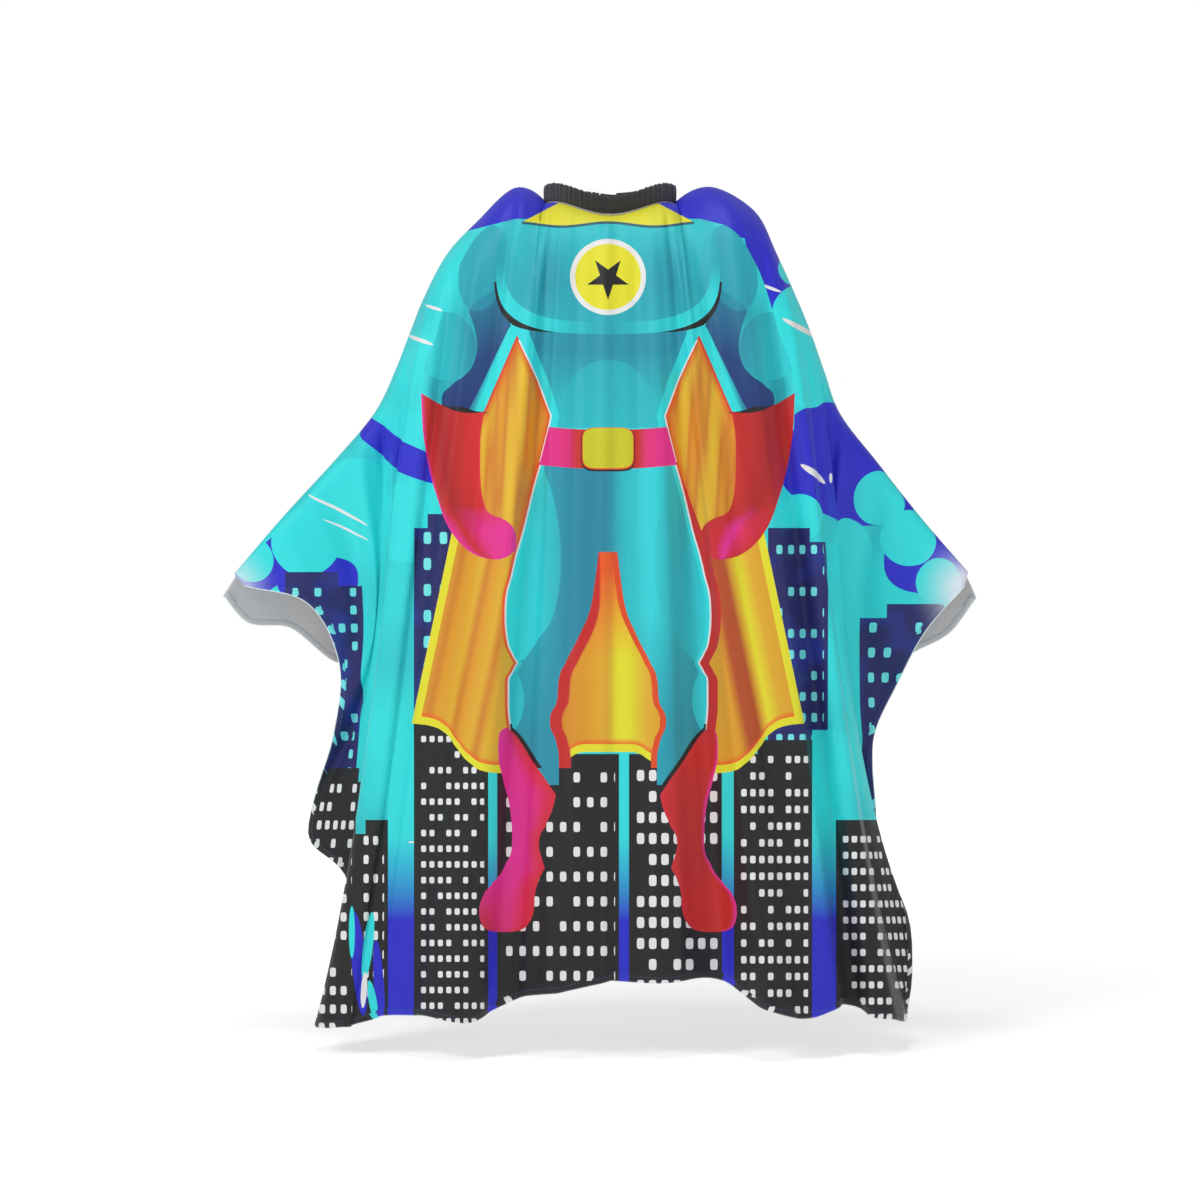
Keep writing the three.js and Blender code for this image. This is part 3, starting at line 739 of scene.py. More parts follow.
def noise(tree, where, scale, detail=2.0):
    node = add_node(tree, "TexNoise", {"Vector": where, "Scale": scale, "Detail": detail})
    return Value(tree, node.outputs[0])


class Value:
    """A number in a node tree. Arithmetic and comparisons on it add the nodes that do them; a comparison
    gives 1 or 0, & is and, | is or, and ~ is not."""

    def __init__(self, tree, socket):
        self.tree, self.socket = tree, socket

    def math(self, operation, *others):
        sockets = dict(enumerate((self, *others)))
        return Value(self.tree, add_node(self.tree, "Math", sockets, operation=operation).outputs[0])

    def __rsub__(self, other):
        return (self * -1) + other

    def __invert__(self):
        return 1 - self

    def size(self):
        return self.math("ABSOLUTE")

    def between(self, low, high):
        return (self > low) & (self < high)

    def rising(self, low, high):
        """0 below low, 1 above high, and even between."""
        sockets = {"Value": self, "From Min": low, "From Max": high}
        return Value(self.tree, add_node(self.tree, "MapRange", sockets).outputs[0])

    def curve(self, points, smooth=True, corners=()):
        """The height, at this value, of a curve through points. It has a corner at each value in corners."""
        xs, ys = zip(*sorted(points))
        x_span, y_low, y_span = xs[-1] - xs[0], min(ys), (max(ys) - min(ys)) or 1
        node = add_node(self.tree, "FloatCurve", {"Value": self.rising(xs[0], xs[-1])})
        line = node.mapping.curves[0]
        for _ in points[2:]:
            line.points.new(0.5, 0.5)
        for dot, x, y in zip(line.points, xs, ys):
            dot.location = ((x - xs[0]) / x_span, (y - y_low) / y_span)
            dot.handle_type = "AUTO_CLAMPED" if smooth and x not in corners else "VECTOR"
        node.mapping.update()
        return Value(self.tree, node.outputs[0]) * y_span + y_low


OPERATORS = {"add": "ADD", "radd": "ADD", "sub": "SUBTRACT", "mul": "MULTIPLY", "rmul": "MULTIPLY"}
OPERATORS |= {"truediv": "DIVIDE", "pow": "POWER", "gt": "GREATER_THAN", "lt": "LESS_THAN"}
OPERATORS |= {"and": "MULTIPLY", "or": "MAXIMUM"}
for sign, operation in OPERATORS.items():
    setattr(Value, f"__{sign}__", partialmethod(Value.math, operation))


def rgba(red, green, blue):
    """A colour given as it shows on a screen, 0 to 255, for a node's linear socket."""
    screen = np.array([red, green, blue]) / 255
    linear = np.where(screen <= 0.04045, screen / 12.92, ((screen + 0.055) / 1.055) ** 2.4)
    return (*linear, 1.0)


class Paint:
    """A picture built up in layers. Each layer is a mask and a colour over what is already there."""

    def __init__(self, tree, colour):
        self.tree, self.colour = tree, colour

    def sides(self, mask, right, value, left_stops, right_stops):
        """The figure's left and right half of a mask, each with its own ramp."""
        self.layer(mask & ~right, ramp(value, left_stops)).layer(mask & right, ramp(value, right_stops))

    def layer(self, mask, colour):
        sockets = {0: mask, 6: self.colour, 7: colour}
        self.colour = add_node(self.tree, "Mix", sockets, data_type="RGBA").outputs[2]
        return self


def ramp(value, stops):
    """A colour that runs through (place, colour) stops as value goes from 0 to 1."""
    node = add_node(value.tree, "ValToRGB", {0: value})
    line = node.color_ramp.elements
    while len(line) < len(stops):
        line.new(0.5)
    for dot, (share, _) in zip(line, stops):
        dot.position = share
    for dot, (_, colour) in zip(line, stops):
        dot.color = colour
    return node.outputs[0]


def ellipse(p, q, centre, radii, turn=0.0, power=2.0):
    """1 inside an ellipse, or a squarer shape with a higher power. turn is in degrees."""
    tree = p.tree
    spread = {"Location": (*centre, 0), "Rotation": (0, 0, math.radians(turn)), "Scale": (*radii, 1)}
    mapping = add_node(tree, "Mapping", {"Vector": joined(p, q), **spread}, vector_type="TEXTURE")
    if power == 2.0:
        length = add_node(tree, "VectorMath", {0: mapping.outputs[0]}, operation="LENGTH")
        return Value(tree, length.outputs["Value"]) < 1.0
    across, up = (part.size() ** power for part in parts_of(tree, mapping.outputs[0]))
    return (across + up) < 1.0


# ---- The print ---------------------------------------------------------------
# p runs across the cape and q up it, in mm, q from the floor. The figure is the same on both sides of its
# axis, and a is the distance from that axis.
CYAN = rgba(52, 226, 228)
DEEP_CYAN = rgba(44, 178, 190)
TEAL = rgba(46, 138, 166)
SLATE = rgba(40, 74, 130)
BLUE = rgba(47, 48, 205)
YELLOW = rgba(232, 226, 50)
WHITE = rgba(236, 236, 236)
INSIDE_GREY = rgba(196, 196, 198)
RED = rgba(203, 46, 46)
DARK_RED = rgba(174, 40, 42)
MAGENTA = rgba(234, 52, 158)
GOLD = rgba(228, 178, 52)
DEEP_GOLD = rgba(226, 158, 44)
BROWN_GOLD = rgba(212, 132, 44)
RUST = rgba(190, 84, 44)
ORANGE = rgba(240, 96, 40)
CHARCOAL = rgba(38, 38, 40)
NAVY = rgba(40, 42, 104)
BUCKLE = rgba(206, 202, 46)

# Outlines of the figure are (q, a) points, except CAPE_HEM and GLOVE_TOP, which are (a, q).
FIGURE_AXIS = -2.0
BELT_TOP, BELT_BOTTOM = 602, 566
TORSO_SIDE = [(566, 68), (602, 59), (614, 56.5), (650, 70), (695, 91), (700, 92)]
BODY_SIDE = [(470, 94), (503, 84), (540, 75), (568, 67), *TORSO_SIDE[1:]]
LEG_OUTER = [(245, 84), (303, 98), (329, 100), (346, 100), (358, 96), (367, 91), (376, 96), (390, 101)]
LEG_OUTER += [(413, 103), (458, 96), (503, 84), (540, 75), (568, 67)]
LEG_INNER = [(245, 49), (270, 49), (289, 52), (309, 58), (329, 51), (351, 49), (368, 42), (396, 28)]
LEG_INNER += [(424, 17), (449, 13), (480, 9)]
CROTCH = 478
THIGH = [(370, 84), (390, 70), (424, 52), (470, 47), (520, 52), (562, 64)]
CAPE_SIDE = [(250, 208), (503, 155), (512, 126), (700, 126)]
CAPE_HEM = [(0, 278), (20, 278), (45, 268), (60, 262), (105, 257), (121, 258), (138, 267), (152, 283)]
CAPE_HEM += [(163, 297), (177, 304), (200, 307)]
GLOVE_OUTER = [(470, 112), (472, 124), (477, 136), (485, 146), (497, 156), (510, 163), (530, 170)]
GLOVE_OUTER += [(550, 176), (590, 184), (637, 187)]
GLOVE_INNER = [(470, 111), (472, 104), (477, 96), (484, 92), (492, 92), (500, 94), (507, 99), (512, 107)]
GLOVE_INNER += [(516, 117), (524, 123), (545, 127), (580, 128), (622, 124)]
GLOVE_TOP = [(122, 619), (134, 617), (148, 618), (164, 624), (187, 637)]
ARM_INNER = [(600, 134), (621, 123), (697, 90)]
ARM_OUTER = [(600, 186), (637, 187), (700, 170), (746, 156), (769, 146), (797, 128), (811, 100)]
ARM_SHADE = [(614, 165), (630, 166), (645, 156), (655, 143), (668, 134), (685, 131), (700, 133)]
ARM_SHADE += [(718, 139), (723, 138), (742, 112)]
ARM_SHADE_INNER = [(614, 142), (654, 122), (700, 100), (704, 97), (742, 111)]
EMBLEM_Q = 753
BOOT_OUTER = [(98, 112), (101, 122), (107, 127), (118, 129), (132, 126), (145, 117), (165, 103), (190, 96)]
BOOT_OUTER += [(220, 98), (250, 105), (280, 110), (295, 109), (303, 101)]
BOOT_INNER = [(98, 96), (101, 85), (107, 79), (120, 74), (135, 73), (150, 69), (162, 63), (175, 67)]
BOOT_INNER += [(185, 69), (205, 62), (222, 55), (235, 52), (250, 62), (270, 76), (293, 91), (303, 101)]


def windows(p, q, wide, high, pitch_p, pitch_q, seed, missing):
    """Lit windows in a grid, a few of them dark."""
    column, row = p / pitch_p, q / pitch_q
    cell = joined(column.math("FLOOR"), row.math("FLOOR"), seed)
    dice = add_node(p.tree, "TexWhiteNoise", {"Vector": cell})
    across = ((column.math("FRACT") - 0.5) * (pitch_p * 2 / wide)).size() ** 4.0
    up = ((row.math("FRACT") - 0.5) * (pitch_q * 2 / high)).size() ** 4.0
    return ((across + up) < 1.0) & (Value(p.tree, dice.outputs["Value"]) > missing)


# Blocks of the skyline: left and right edge, top, then pitch and size of the windows.
FAR_BLOCKS = [
    (-362, -288, 458, (10.7, 18.0), (6, 9)),
    (-196, -150, 516, (16.0, 26.0), (7.5, 12)),
    (158, 218, 502, (11.6, 21.0), (6, 9)),
    (292, 372, 426, (14.0, 25.0), (6.5, 10)),
]
NEAR_BLOCKS = [
    (-352, -254, 262, (10.7, 18.4), (6, 9)),
    (-254, -222, 210, (9.4, 19.0), (5, 9)),
    (-196, -122, 310, (8.4, 15.7), (5, 6.5)),
    (-113, 9, 276, (13.5, 24.8), (6.5, 10)),
    (19, 112, 276, (12.2, 21.0), (7.5, 11)),
    (124, 202, 290, (8.9, 16.7), (5.5, 7.5)),
    (226, 350, 210, (8.6, 16.2), (5.5, 7)),
]
STREETS = [(-222, -196), (-122, -113), (9, 19), (112, 124), (202, 226)]
SKY_BLUE = [
    ((-88, 832), (34, 26), 0), ((118, 830), (52, 30), -28), ((160, 768), (20, 62), 14),
    ((262, 566), (96, 58), -10), ((-222, 578), (78, 15), -22), ((-372, 470), (64, 20), 40),
    ((-332, 452), (40, 22), 0), ((362, 470), (50, 34), 0), ((-150, 1010), (96, 34), 14),
    ((130, 1090), (118, 36), -12), ((-60, 1225), (120, 30), 6),
]
CLOUDS = [
    ((186, 762), 18), ((192, 716), 30), ((200, 660), 38), ((306, 532), 27), ((268, 478), 34),
    ((336, 492), 28), ((190, 512), 24), ((-288, 520), 52), ((-206, 508), 40), ((-342, 488), 34),
    ((-396, 470), 22), ((366, 448), 24), ((-232, 982), 26), ((-196, 976), 30), ((-150, 986), 26),
    ((-112, 1000), 22), ((-76, 1010), 24), ((48, 1086), 26), ((86, 1072), 32), ((132, 1062), 28),
    ((176, 1060), 30), ((218, 1056), 26), ((-150, 1206), 24), ((-112, 1200), 30), ((-62, 1204), 26),
    ((-20, 1210), 28), ((24, 1218), 24),
]
STREAKS = [
    ((-308, 520), (36, 1.6), -26), ((-190, 690), (14, 2.0), -20), ((-176, 722), (9, 1.6), -18),
    ((190, 702), (20, 2.6), -28), ((206, 556), (18, 3.2), -32), ((160, 742), (12, 1.6), -20),
    ((232, 552), (3, 5), 0), ((-300, 500), (26, 1.2), -24), ((60, 960), (22, 2), -20),
    ((-200, 900), (26, 2), -20), ((210, 920), (22, 2), -24),
]
# Broken reflections low down at the left: centre, radii, turn in degrees and colour.
REFLECTIONS = [
    ((-251, 66), (7, 52), 5, BLUE), ((-242, 84), (5, 34), -7, CYAN), ((-231, 46), (5, 44), 4, BLUE),
    ((-237, 28), (4, 22), 10, CYAN), ((-258, 98), (3, 26), 0, CYAN), ((-246, 40), (3, 18), -4, WHITE),
]


def soft_patches(p, q, scale, low, high):
    """Soft patches, 0 to 1."""
    return noise(p.tree, joined(p, q), scale, detail=1.0).rising(low, high)


def paint_sky(paint, p, q):
    # Painted shade: soft darker deep-cyan patches over the sky.
    paint.layer(soft_patches(p, q, 0.009, 0.42, 0.72) * 0.7, DEEP_CYAN)
    for centre, radii, turn in SKY_BLUE:
        paint.layer(ellipse(p, q, centre, radii, turn, 2.6), BLUE)


def paint_clouds(paint, p, q):
    for centre, radius in CLOUDS:
        paint.layer(ellipse(p, q, centre, (radius, radius)), CYAN)
    for centre, radii, turn in STREAKS:
        paint.layer(ellipse(p, q, centre, radii, turn), WHITE)


def block_painter(blocks, wall, glass, missing, glow):
    def painter(paint, p, q):
        patches = soft_patches(p, q, 0.02, 0.5, 0.8)
        for number, (left, right, top, pitch, size) in enumerate(blocks):
            step = (right - left) * 0.3
            corner = (p < left + step) if number % 2 else (p > right - step)
            block = p.between(left, right) & (q < top) & ~(corner & (q > top - 14))
            lit = windows(p - (left + 5.5), q - (top - 11), *size, *pitch, float(number), missing)
            inside = p.between(left + 4, right - 4) & (q < top - 16)
            paint.layer(block, wall).layer(block & patches * 0.7, glow)
            paint.layer(inside & lit, glass)

    return painter


def paint_streets(paint, p, q):
    ground = ramp(q.rising(110, 250), [(0.0, BLUE), (0.6, CYAN), (1.0, CYAN)])
    for left, right in STREETS:
        paint.layer(p.between(left, right) & (q < 300), ground)
    dashes = p.between(-400, 400) & (q - 187).between(0, 1.6) & (p * 0.027).math("SINE").between(0.75, 1)
    paint.layer(dashes, WHITE)


def paint_reflections(paint, p, q):
    for centre, radii, turn, colour in REFLECTIONS:
        paint.layer(ellipse(p, q, centre, radii, turn), colour)


def paint_cape(paint, p, q):
    a, right = (p - FIGURE_AXIS).size(), p > FIGURE_AXIS
    slant = (a - (503 - q) * 0.21) / 155
    side = q.curve(CAPE_SIDE, smooth=False)
    hem_line = a.curve(CAPE_HEM)
    cape = (a < side) & (q > hem_line) & (q < 504)
    left_stops = [(0.0, GOLD), (0.5, GOLD), (0.55, BROWN_GOLD), (0.6, GOLD), (0.68, DEEP_GOLD)]
    left_stops += [(0.72, BROWN_GOLD), (0.76, GOLD), (0.86, DEEP_GOLD), (0.9, BROWN_GOLD), (1.0, GOLD)]
    right_stops = [(0.0, GOLD), (0.56, DEEP_GOLD), (0.62, RUST), (0.7, RUST), (0.74, GOLD), (0.78, YELLOW)]
    right_stops += [(0.86, GOLD), (1.0, DEEP_GOLD)]
    paint.sides(cape, right, slant, left_stops, right_stops)
    between_stops = [(0.0, BROWN_GOLD), (0.3, DEEP_GOLD), (0.5, GOLD), (0.58, YELLOW), (0.68, YELLOW)]
    between_stops += [(0.82, GOLD), (1.0, DEEP_GOLD)]
    paint.layer(cape & (a < 60), ramp((p + 62) / 120, between_stops))
    paint.layer((a < 30) * (q < 500) * q.rising(370, 460), ORANGE)
    rise = q - hem_line
    edge = cape & ((side - a) < 8)
    paint.layer(cape * (1 - (rise - 8).rising(0, 6)), ORANGE)
    paint.layer((cape & (rise < 8)) | edge, YELLOW)


def paint_gussets(paint, p, q):
    """The cape seen between the body and the arms, with dark edges all round."""
    a = (p - FIGURE_AXIS).size()
    side = q.curve(BODY_SIDE, smooth=False)
    arm_inner = q.curve(ARM_INNER, smooth=False)
    gusset = q.between(480, 697) & (a > side) & (a < arm_inner)
    streaks = (p * 0.19 - q * 0.02).math("SINE") + (p * 0.43 + 1).math("SINE") * 0.4
    stops = [(0.0, DEEP_GOLD), (0.35, BROWN_GOLD), (0.7, GOLD), (1.0, rgba(234, 190, 50))]
    paint.layer(gusset, ramp(streaks.rising(-1.4, 1.4), stops))
    depth = (arm_inner - a).math("MINIMUM", a - side)
    paint.layer(gusset * (1 - depth.rising(2, 9)) * 0.9, rgba(226, 92, 34))
    paint.layer(gusset & (depth < 1.8), rgba(214, 58, 40))


def paint_legs(paint, p, q):
    a, right = (p - FIGURE_AXIS).size(), p > FIGURE_AXIS
    outer, inner = q.curve(LEG_OUTER, corners=(367,)), q.curve(LEG_INNER)
    leg = q.between(245, BELT_BOTTOM) & (a < outer) & ((q > CROTCH) | (a > inner))
    beside = q.between(262, BELT_BOTTOM)
    beyond, gap = a - outer, inner - a
    paint.layer(beside & right & (beyond > 0) & (beyond < q.rising(BELT_BOTTOM, 490) * 10), RED)
    paint.layer(beside & ~right & beyond.between(0, 3.5), ORANGE)
    below = beside & (q < CROTCH)
    paint.layer(below & right & gap.between(0, 6), rgba(226, 80, 40))
    paint.layer((below & ~right) * (1 - (gap - q.rising(480, 400) * 11).rising(0, 2)) * (gap > 0), RED)
    across = (p - FIGURE_AXIS + 100) / 200
    stops = [(0.0, rgba(50, 200, 210)), (0.25, rgba(46, 150, 176)), (0.36, TEAL), (0.48, TEAL)]
    stops += [(0.6, rgba(50, 196, 206)), (0.72, rgba(54, 216, 224)), (0.85, DEEP_CYAN), (1.0, DEEP_CYAN)]
    paint.layer(leg, ramp(across, stops))
    paint.layer((leg * q.rising(420, 300)) * 0.75, rgba(44, 146, 172))
    thigh = leg & (q > 370) & (a > q.curve(THIGH))
    span = (a - 45) / 55
    left_stops = [(0.0, rgba(46, 176, 190)), (0.5, rgba(50, 214, 222)), (1.0, CYAN)]
    right_stops = [(0.0, rgba(50, 206, 214)), (0.5, DEEP_CYAN), (1.0, rgba(52, 214, 222))]
    paint.sides(thigh, right, span, left_stops, right_stops)
    paint.layer(leg * (outer - a < 5) * 0.8, CYAN)
    paint.layer(leg & ellipse(a, q, (106, 330), (22, 36)), rgba(50, 205, 214))
    paint.layer(q.between(300, 567) & beyond.between(-1.2, 0.6), WHITE)


def paint_arms(paint, p, q):
    a = (p - FIGURE_AXIS).size()
    arm_inner, outer = q.curve(ARM_INNER, smooth=False), q.curve(ARM_OUTER)
    arm = q.between(600, 811) & (a < outer) & (a > arm_inner) & (a > 90)
    stops = [(0.0, CYAN), (0.12, CYAN), (0.2, rgba(44, 140, 168)), (0.5, DEEP_CYAN), (0.85, DEEP_CYAN)]
    stops += [(1.0, CYAN)]
    paint.layer(arm, ramp((a - arm_inner) / (outer - arm_inner), stops))
    paint.layer(arm * q.rising(715, 760), rgba(48, 196, 206))
    paint.layer(arm * ((outer - a).rising(26, 0)) * q.rising(680, 740), CYAN)
    shade_side = q.curve(ARM_SHADE, corners=(723, 718))
    shade = arm & q.between(614, 742) & (a < shade_side) & (a > q.curve(ARM_SHADE_INNER, smooth=False))
    shade_stops = [(0.0, rgba(38, 52, 118)), (0.45, SLATE), (1.0, TEAL)]
    paint.layer(shade, ramp((q + a * 0.4 - 660) / 140, shade_stops))
    biceps = arm & ellipse(a, q, (163, 684), (31, 34))
    paint.layer(biceps, ramp(a.rising(130, 178), [(0.0, TEAL), (0.45, DEEP_CYAN), (1.0, rgba(50, 210, 217))]))
    deltoid = arm & ellipse(a, q, (124, 762), (24, 44), 14)
    paint.layer(deltoid * 0.7, rgba(44, 152, 176))


def paint_trunk(paint, p, q):
    a = (p - FIGURE_AXIS).size()
    side = q.curve(TORSO_SIDE, smooth=False)
    trunk = q.between(BELT_TOP, 702) & (a < side)
    down = [(0.0, rgba(50, 206, 214)), (0.4, DEEP_CYAN), (0.8, rgba(45, 150, 174)), (1.0, rgba(46, 152, 176))]
    paint.layer(trunk, ramp(q.rising(602, 700), down))
    belly = trunk & ellipse(a, q, (0, 610), (50, 60))
    paint.layer(belly, ramp(q.rising(602, 670), [(0.0, rgba(46, 190, 202)), (1.0, rgba(46, 180, 192))]))
    inset = side - a
    paint.layer(trunk & (inset < 10 + (q - 650) * 0.06), rgba(50, 220, 226))
    paint.layer(q.between(568, 690) & inset.between(-1.2, 0.5), WHITE)
    pec = ellipse(a, q, (0, 764), (112, 68), power=3.2) & (q < 766)
    chest = pec | (q.between(765, 811) & (a < 112))
    paint.layer(chest * (1 - a.rising(98, 112) * q.rising(764, 768)), rgba(46, 176, 190))
    paint.layer(chest * (1 - a.rising(90, 112)) * q.rising(745, 800) * 0.6, rgba(50, 214, 220))
    hollow = (1 - (a - 58).size().rising(0, 34)) * (1 - (q - 760).size().rising(10, 46))
    paint.layer(chest * hollow * 0.5, TEAL)
    rim = pec & ~ellipse(a, q, (0, 768), (103, 60), power=3.0)
    paint.layer(rim * (1 - q.rising(735, 764)) * a.rising(8, 66), rgba(51, 218, 222))
    sink = (1 - (a - 96).size() / 44).math("MAXIMUM", 0)
    under = ellipse(a - sink * 3.5, q + sink * 5.5, (0, 764), (112, 68), power=3.2)
    paint.layer(under & ~pec & (q < 748) & (a > 52), CHARCOAL)
    brow = q - 805.5 - (a * 0.0683).math("COSINE") * 2
    paint.layer(brow.between(-1.6, 1) & (a < 86), rgba(38, 98, 116))


def paint_belt(paint, p, q):
    a = (p - FIGURE_AXIS).size()
    sag = q - (a / 68) ** 2.0 * 4 + 3
    belt = sag.between(BELT_BOTTOM - 2, BELT_TOP + 1) & (a < q.curve([(560, 70), (606, 58)], smooth=False))
    stops = [(0.0, RED), (0.45, RED), (0.55, rgba(226, 52, 120)), (0.8, rgba(228, 50, 140)), (1.0, MAGENTA)]
    paint.layer(belt, ramp(a / 70, stops))
    paint.layer(ellipse(a, q, (0, 580.5), (27, 22), power=5.0), CHARCOAL)
    paint.layer(ellipse(a, q, (0, 581.5), (26, 21), power=5.0), ORANGE)
    paint.layer(ellipse(a, q, (0, 582), (25, 20), power=5.0), BUCKLE)


def paint_gloves(paint, p, q):
    a, right = (p - FIGURE_AXIS).size(), p > FIGURE_AXIS
    glove_top = a.curve(GLOVE_TOP)
    outer, inner = q.curve(GLOVE_OUTER), q.curve(GLOVE_INNER)
    glove = q.between(470.5, 640) & (q < glove_top) & (a < outer) & (a > inner)
    lip = 1 - (a - 146).size() / 20
    line = (lip > 0) & (q - glove_top).between(0, 0.1)
    paint.layer(line | (q - glove_top < lip * 6) & (q > glove_top - 2), CHARCOAL)
    share = (a - inner) / (outer - inner)
    left_stops = [(0.0, rgba(220, 48, 60)), (0.3, RED), (0.7, DARK_RED), (0.94, RED), (1.0, MAGENTA)]
    right_stops = [(0.0, RED), (0.35, rgba(186, 44, 44)), (0.6, DARK_RED), (1.0, RED)]
    paint.sides(glove, right, share, left_stops, right_stops)
    hand = glove * (1 - q.rising(500, 524))
    left_stops = [(0.0, MAGENTA), (0.5, rgba(228, 48, 140)), (0.8, RED), (1.0, MAGENTA)]
    right_stops = [(0.0, RED), (0.3, rgba(212, 46, 60)), (0.5, MAGENTA), (0.65, rgba(220, 46, 90))]
    right_stops += [(1.0, RED)]
    paint.sides(hand, right, share, left_stops, right_stops)


def paint_boots(paint, p, q):
    a, right = (p - FIGURE_AXIS).size(), p > FIGURE_AXIS
    outer, inner = q.curve(BOOT_OUTER), q.curve(BOOT_INNER, corners=(235, 162))
    shadow = q.between(238, 306) & (inner - a).between(0, 5) & (a < q.curve(LEG_OUTER))
    paint.layer(shadow & (right | (q > 262)), CHARCOAL)
    boot = q.between(98, 303) & (a < outer) & (a > inner)
    share = (a - inner) / (outer - inner)
    left_stops = [(0.0, rgba(216, 46, 60)), (0.22, rgba(224, 48, 92)), (0.5, rgba(232, 50, 146))]
    left_stops += [(1.0, MAGENTA)]
    right_stops = [(0.0, rgba(214, 48, 60)), (0.15, RED), (0.9, RED), (1.0, MAGENTA)]
    paint.sides(boot, right, share, left_stops, right_stops)
    paint.layer((boot & ~right) * (1 - q.rising(100, 150)) * a.rising(96, 124), RED)


def paint_collar(paint, p, q):
    x, y = p - FIGURE_AXIS, q - EMBLEM_Q
    a = x.size()
    slope = 826 - (a - 51) * 0.52
    lower = 806.5 + (a * 0.0683).math("COSINE") * 2
    paint.layer((q > lower) & (q < slope) & (a < 92), YELLOW)
    paint.layer((q > slope) & (q < 850) & (q > 811 - (a - 92).math("MAXIMUM", 0) * 0.25) & (a < 150), BLUE)
    paint.layer(ellipse(x, y, (0, 0), (38, 38)), WHITE)
    paint.layer(ellipse(x, y, (0, 0), (33, 33)), YELLOW)
    paint.layer(star(x, y + 1, 22), CHARCOAL)


def star(x, y, radius):
    """1 inside a five-pointed star round the origin: the overlap of at least four of its five half planes."""
    inner = radius * 0.309
    sides = None
    for i in range(5):
        angle = math.radians(90 + 72 * i + 180)
        side = (x * math.cos(angle) + y * math.sin(angle)) < inner
        sides = side if sides is None else sides + side
    return (sides > 3.5) & ((x * x + y * y) < radius * radius)


def paint_cuff_sheen(paint, p, q):
    """Painted sheen: pale bluish-white patches round the two cuffs, strongest at their middles."""
    for centre, radius, strength in (((-414, 446), 46, 0.55), ((398, 440), 64, 0.9)):
        x, y = p - centre[0], q - centre[1]
        near = 1 - (x * x + y * y).math("SQRT").rising(radius * 0.25, radius)
        paint.layer(near * near * strength, rgba(232, 238, 246))


PAINTERS = {
    "sky": [paint_sky, paint_clouds],
    "city": [
        block_painter(FAR_BLOCKS, NAVY, rgba(120, 235, 236), 0.25, rgba(46, 70, 190)),
        paint_streets,
        block_painter(NEAR_BLOCKS, CHARCOAL, WHITE, 0.2, rgba(40, 40, 43)),
        paint_reflections,
    ],
    "cape": [paint_cape, paint_gussets],
    "legs": [paint_legs],
    "arms": [paint_arms],
    "trunk": [paint_trunk, paint_belt],
    "trim": [paint_gloves, paint_boots, paint_collar, paint_cuff_sheen],
}


# A millionth of the colour below is added to each group's place. It doesn't show, but it makes Cycles work
# through the groups in turn. Otherwise it holds the masks of all of them at once and runs out of room.
LINK = 1e-6


def new_group(name, **inputs):
    """A node group with these inputs and a colour out, and its two ends."""
    tree = bpy.data.node_groups.new(name, "ShaderNodeTree")
    for socket, kind in inputs.items():
        tree.interface.new_socket(socket, in_out="INPUT", socket_type="NodeSocket" + kind)
    tree.interface.new_socket("Color", in_out="OUTPUT", socket_type="NodeSocketColor")
    return tree, tree.nodes.new("NodeGroupInput"), tree.nodes.new("NodeGroupOutput")


def layer_group(name, painters):
    """Layers of the print as a node group: a place in metres and the colour under them in, colour out."""
    tree, entry, leave = new_group("print_" + name, Place="Vector", Under="Color")
    link = Value(tree, entry.outputs[1]) * LINK
    p, q = (part * 1000 + link for part in parts_of(tree, entry.outputs[0]))
    paint = Paint(tree, entry.outputs[1])
    for painter in painters:
        painter(paint, p, q)
    fill(tree, leave.inputs[0], paint.colour)
    return tree


def print_group():
    """The whole print as a node group: a place in metres in, colour out."""
    tree, entry, leave = new_group("costume_print", Place="Vector")
    colour = CYAN
    for name, painters in PAINTERS.items():
        layers = layer_group(name, painters)
        colour = add_node(tree, "Group", {0: entry.outputs[0], 1: colour}, node_tree=layers).outputs[0]
    fill(tree, leave.inputs[0], colour)
    return tree


# ---- Materials ---------------------------------------------------------------
def new_material(name, roughness, sheen=0.0, specular=0.5):
    material = bpy.data.materials.new(name)
    material.use_nodes = True
    shader = material.node_tree.nodes["Principled BSDF"]
    shader.inputs["Roughness"].default_value = roughness
    shader.inputs["Sheen Weight"].default_value = sheen
    shader.inputs["Specular IOR Level"].default_value = specular
    return material, material.node_tree, shader


def bump(tree, shader, height, distance, strength, under=None):
    """A bump of the height, distance in mm, on top of another bump if there is one under it."""
    inputs = {"Distance": distance * MM, "Strength": strength, "Height": height}
    inputs |= {} if under is None else {"Normal": under}
    normal = add_node(tree, "Bump", inputs).outputs[0]
    fill(tree, shader.inputs["Normal"], normal)
    return normal


def mapped(tree, name):
    """The coordinates of a map of the mesh."""
    return add_node(tree, "UVMap", {}, uv_map=name).outputs[0]


def in_object(tree):
    return add_node(tree, "TexCoord", {}).outputs["Object"]


def weave_height(tree, where, pitch):
    """Crossing threads a pitch apart, in mm."""
    turns = 2 * math.pi / (pitch * MM)
    u, v = (part * turns for part in parts_of(tree, where))
    return u.math("SINE") * v.math("SINE")


def darker(colour, share):
    return (*(c * share for c in colour[:3]), 1)


WEAVE_PITCH, LABEL_WEAVE_PITCH = 0.7, 0.45


def printed_material(group):
    material, tree, shader = new_material("printed_satin", 0.42, sheen=0.05, specular=0.3)
    where = mapped(tree, "print")
    picture = add_node(tree, "Group", {0: where}, node_tree=group)
    fill(tree, shader.inputs["Base Color"], picture.outputs[0])
    first = bump(tree, shader, noise(tree, where, 26), 3.0, 0.35)
    bump(tree, shader, weave_height(tree, where, WEAVE_PITCH), 0.05, 0.6, under=first)
    return material


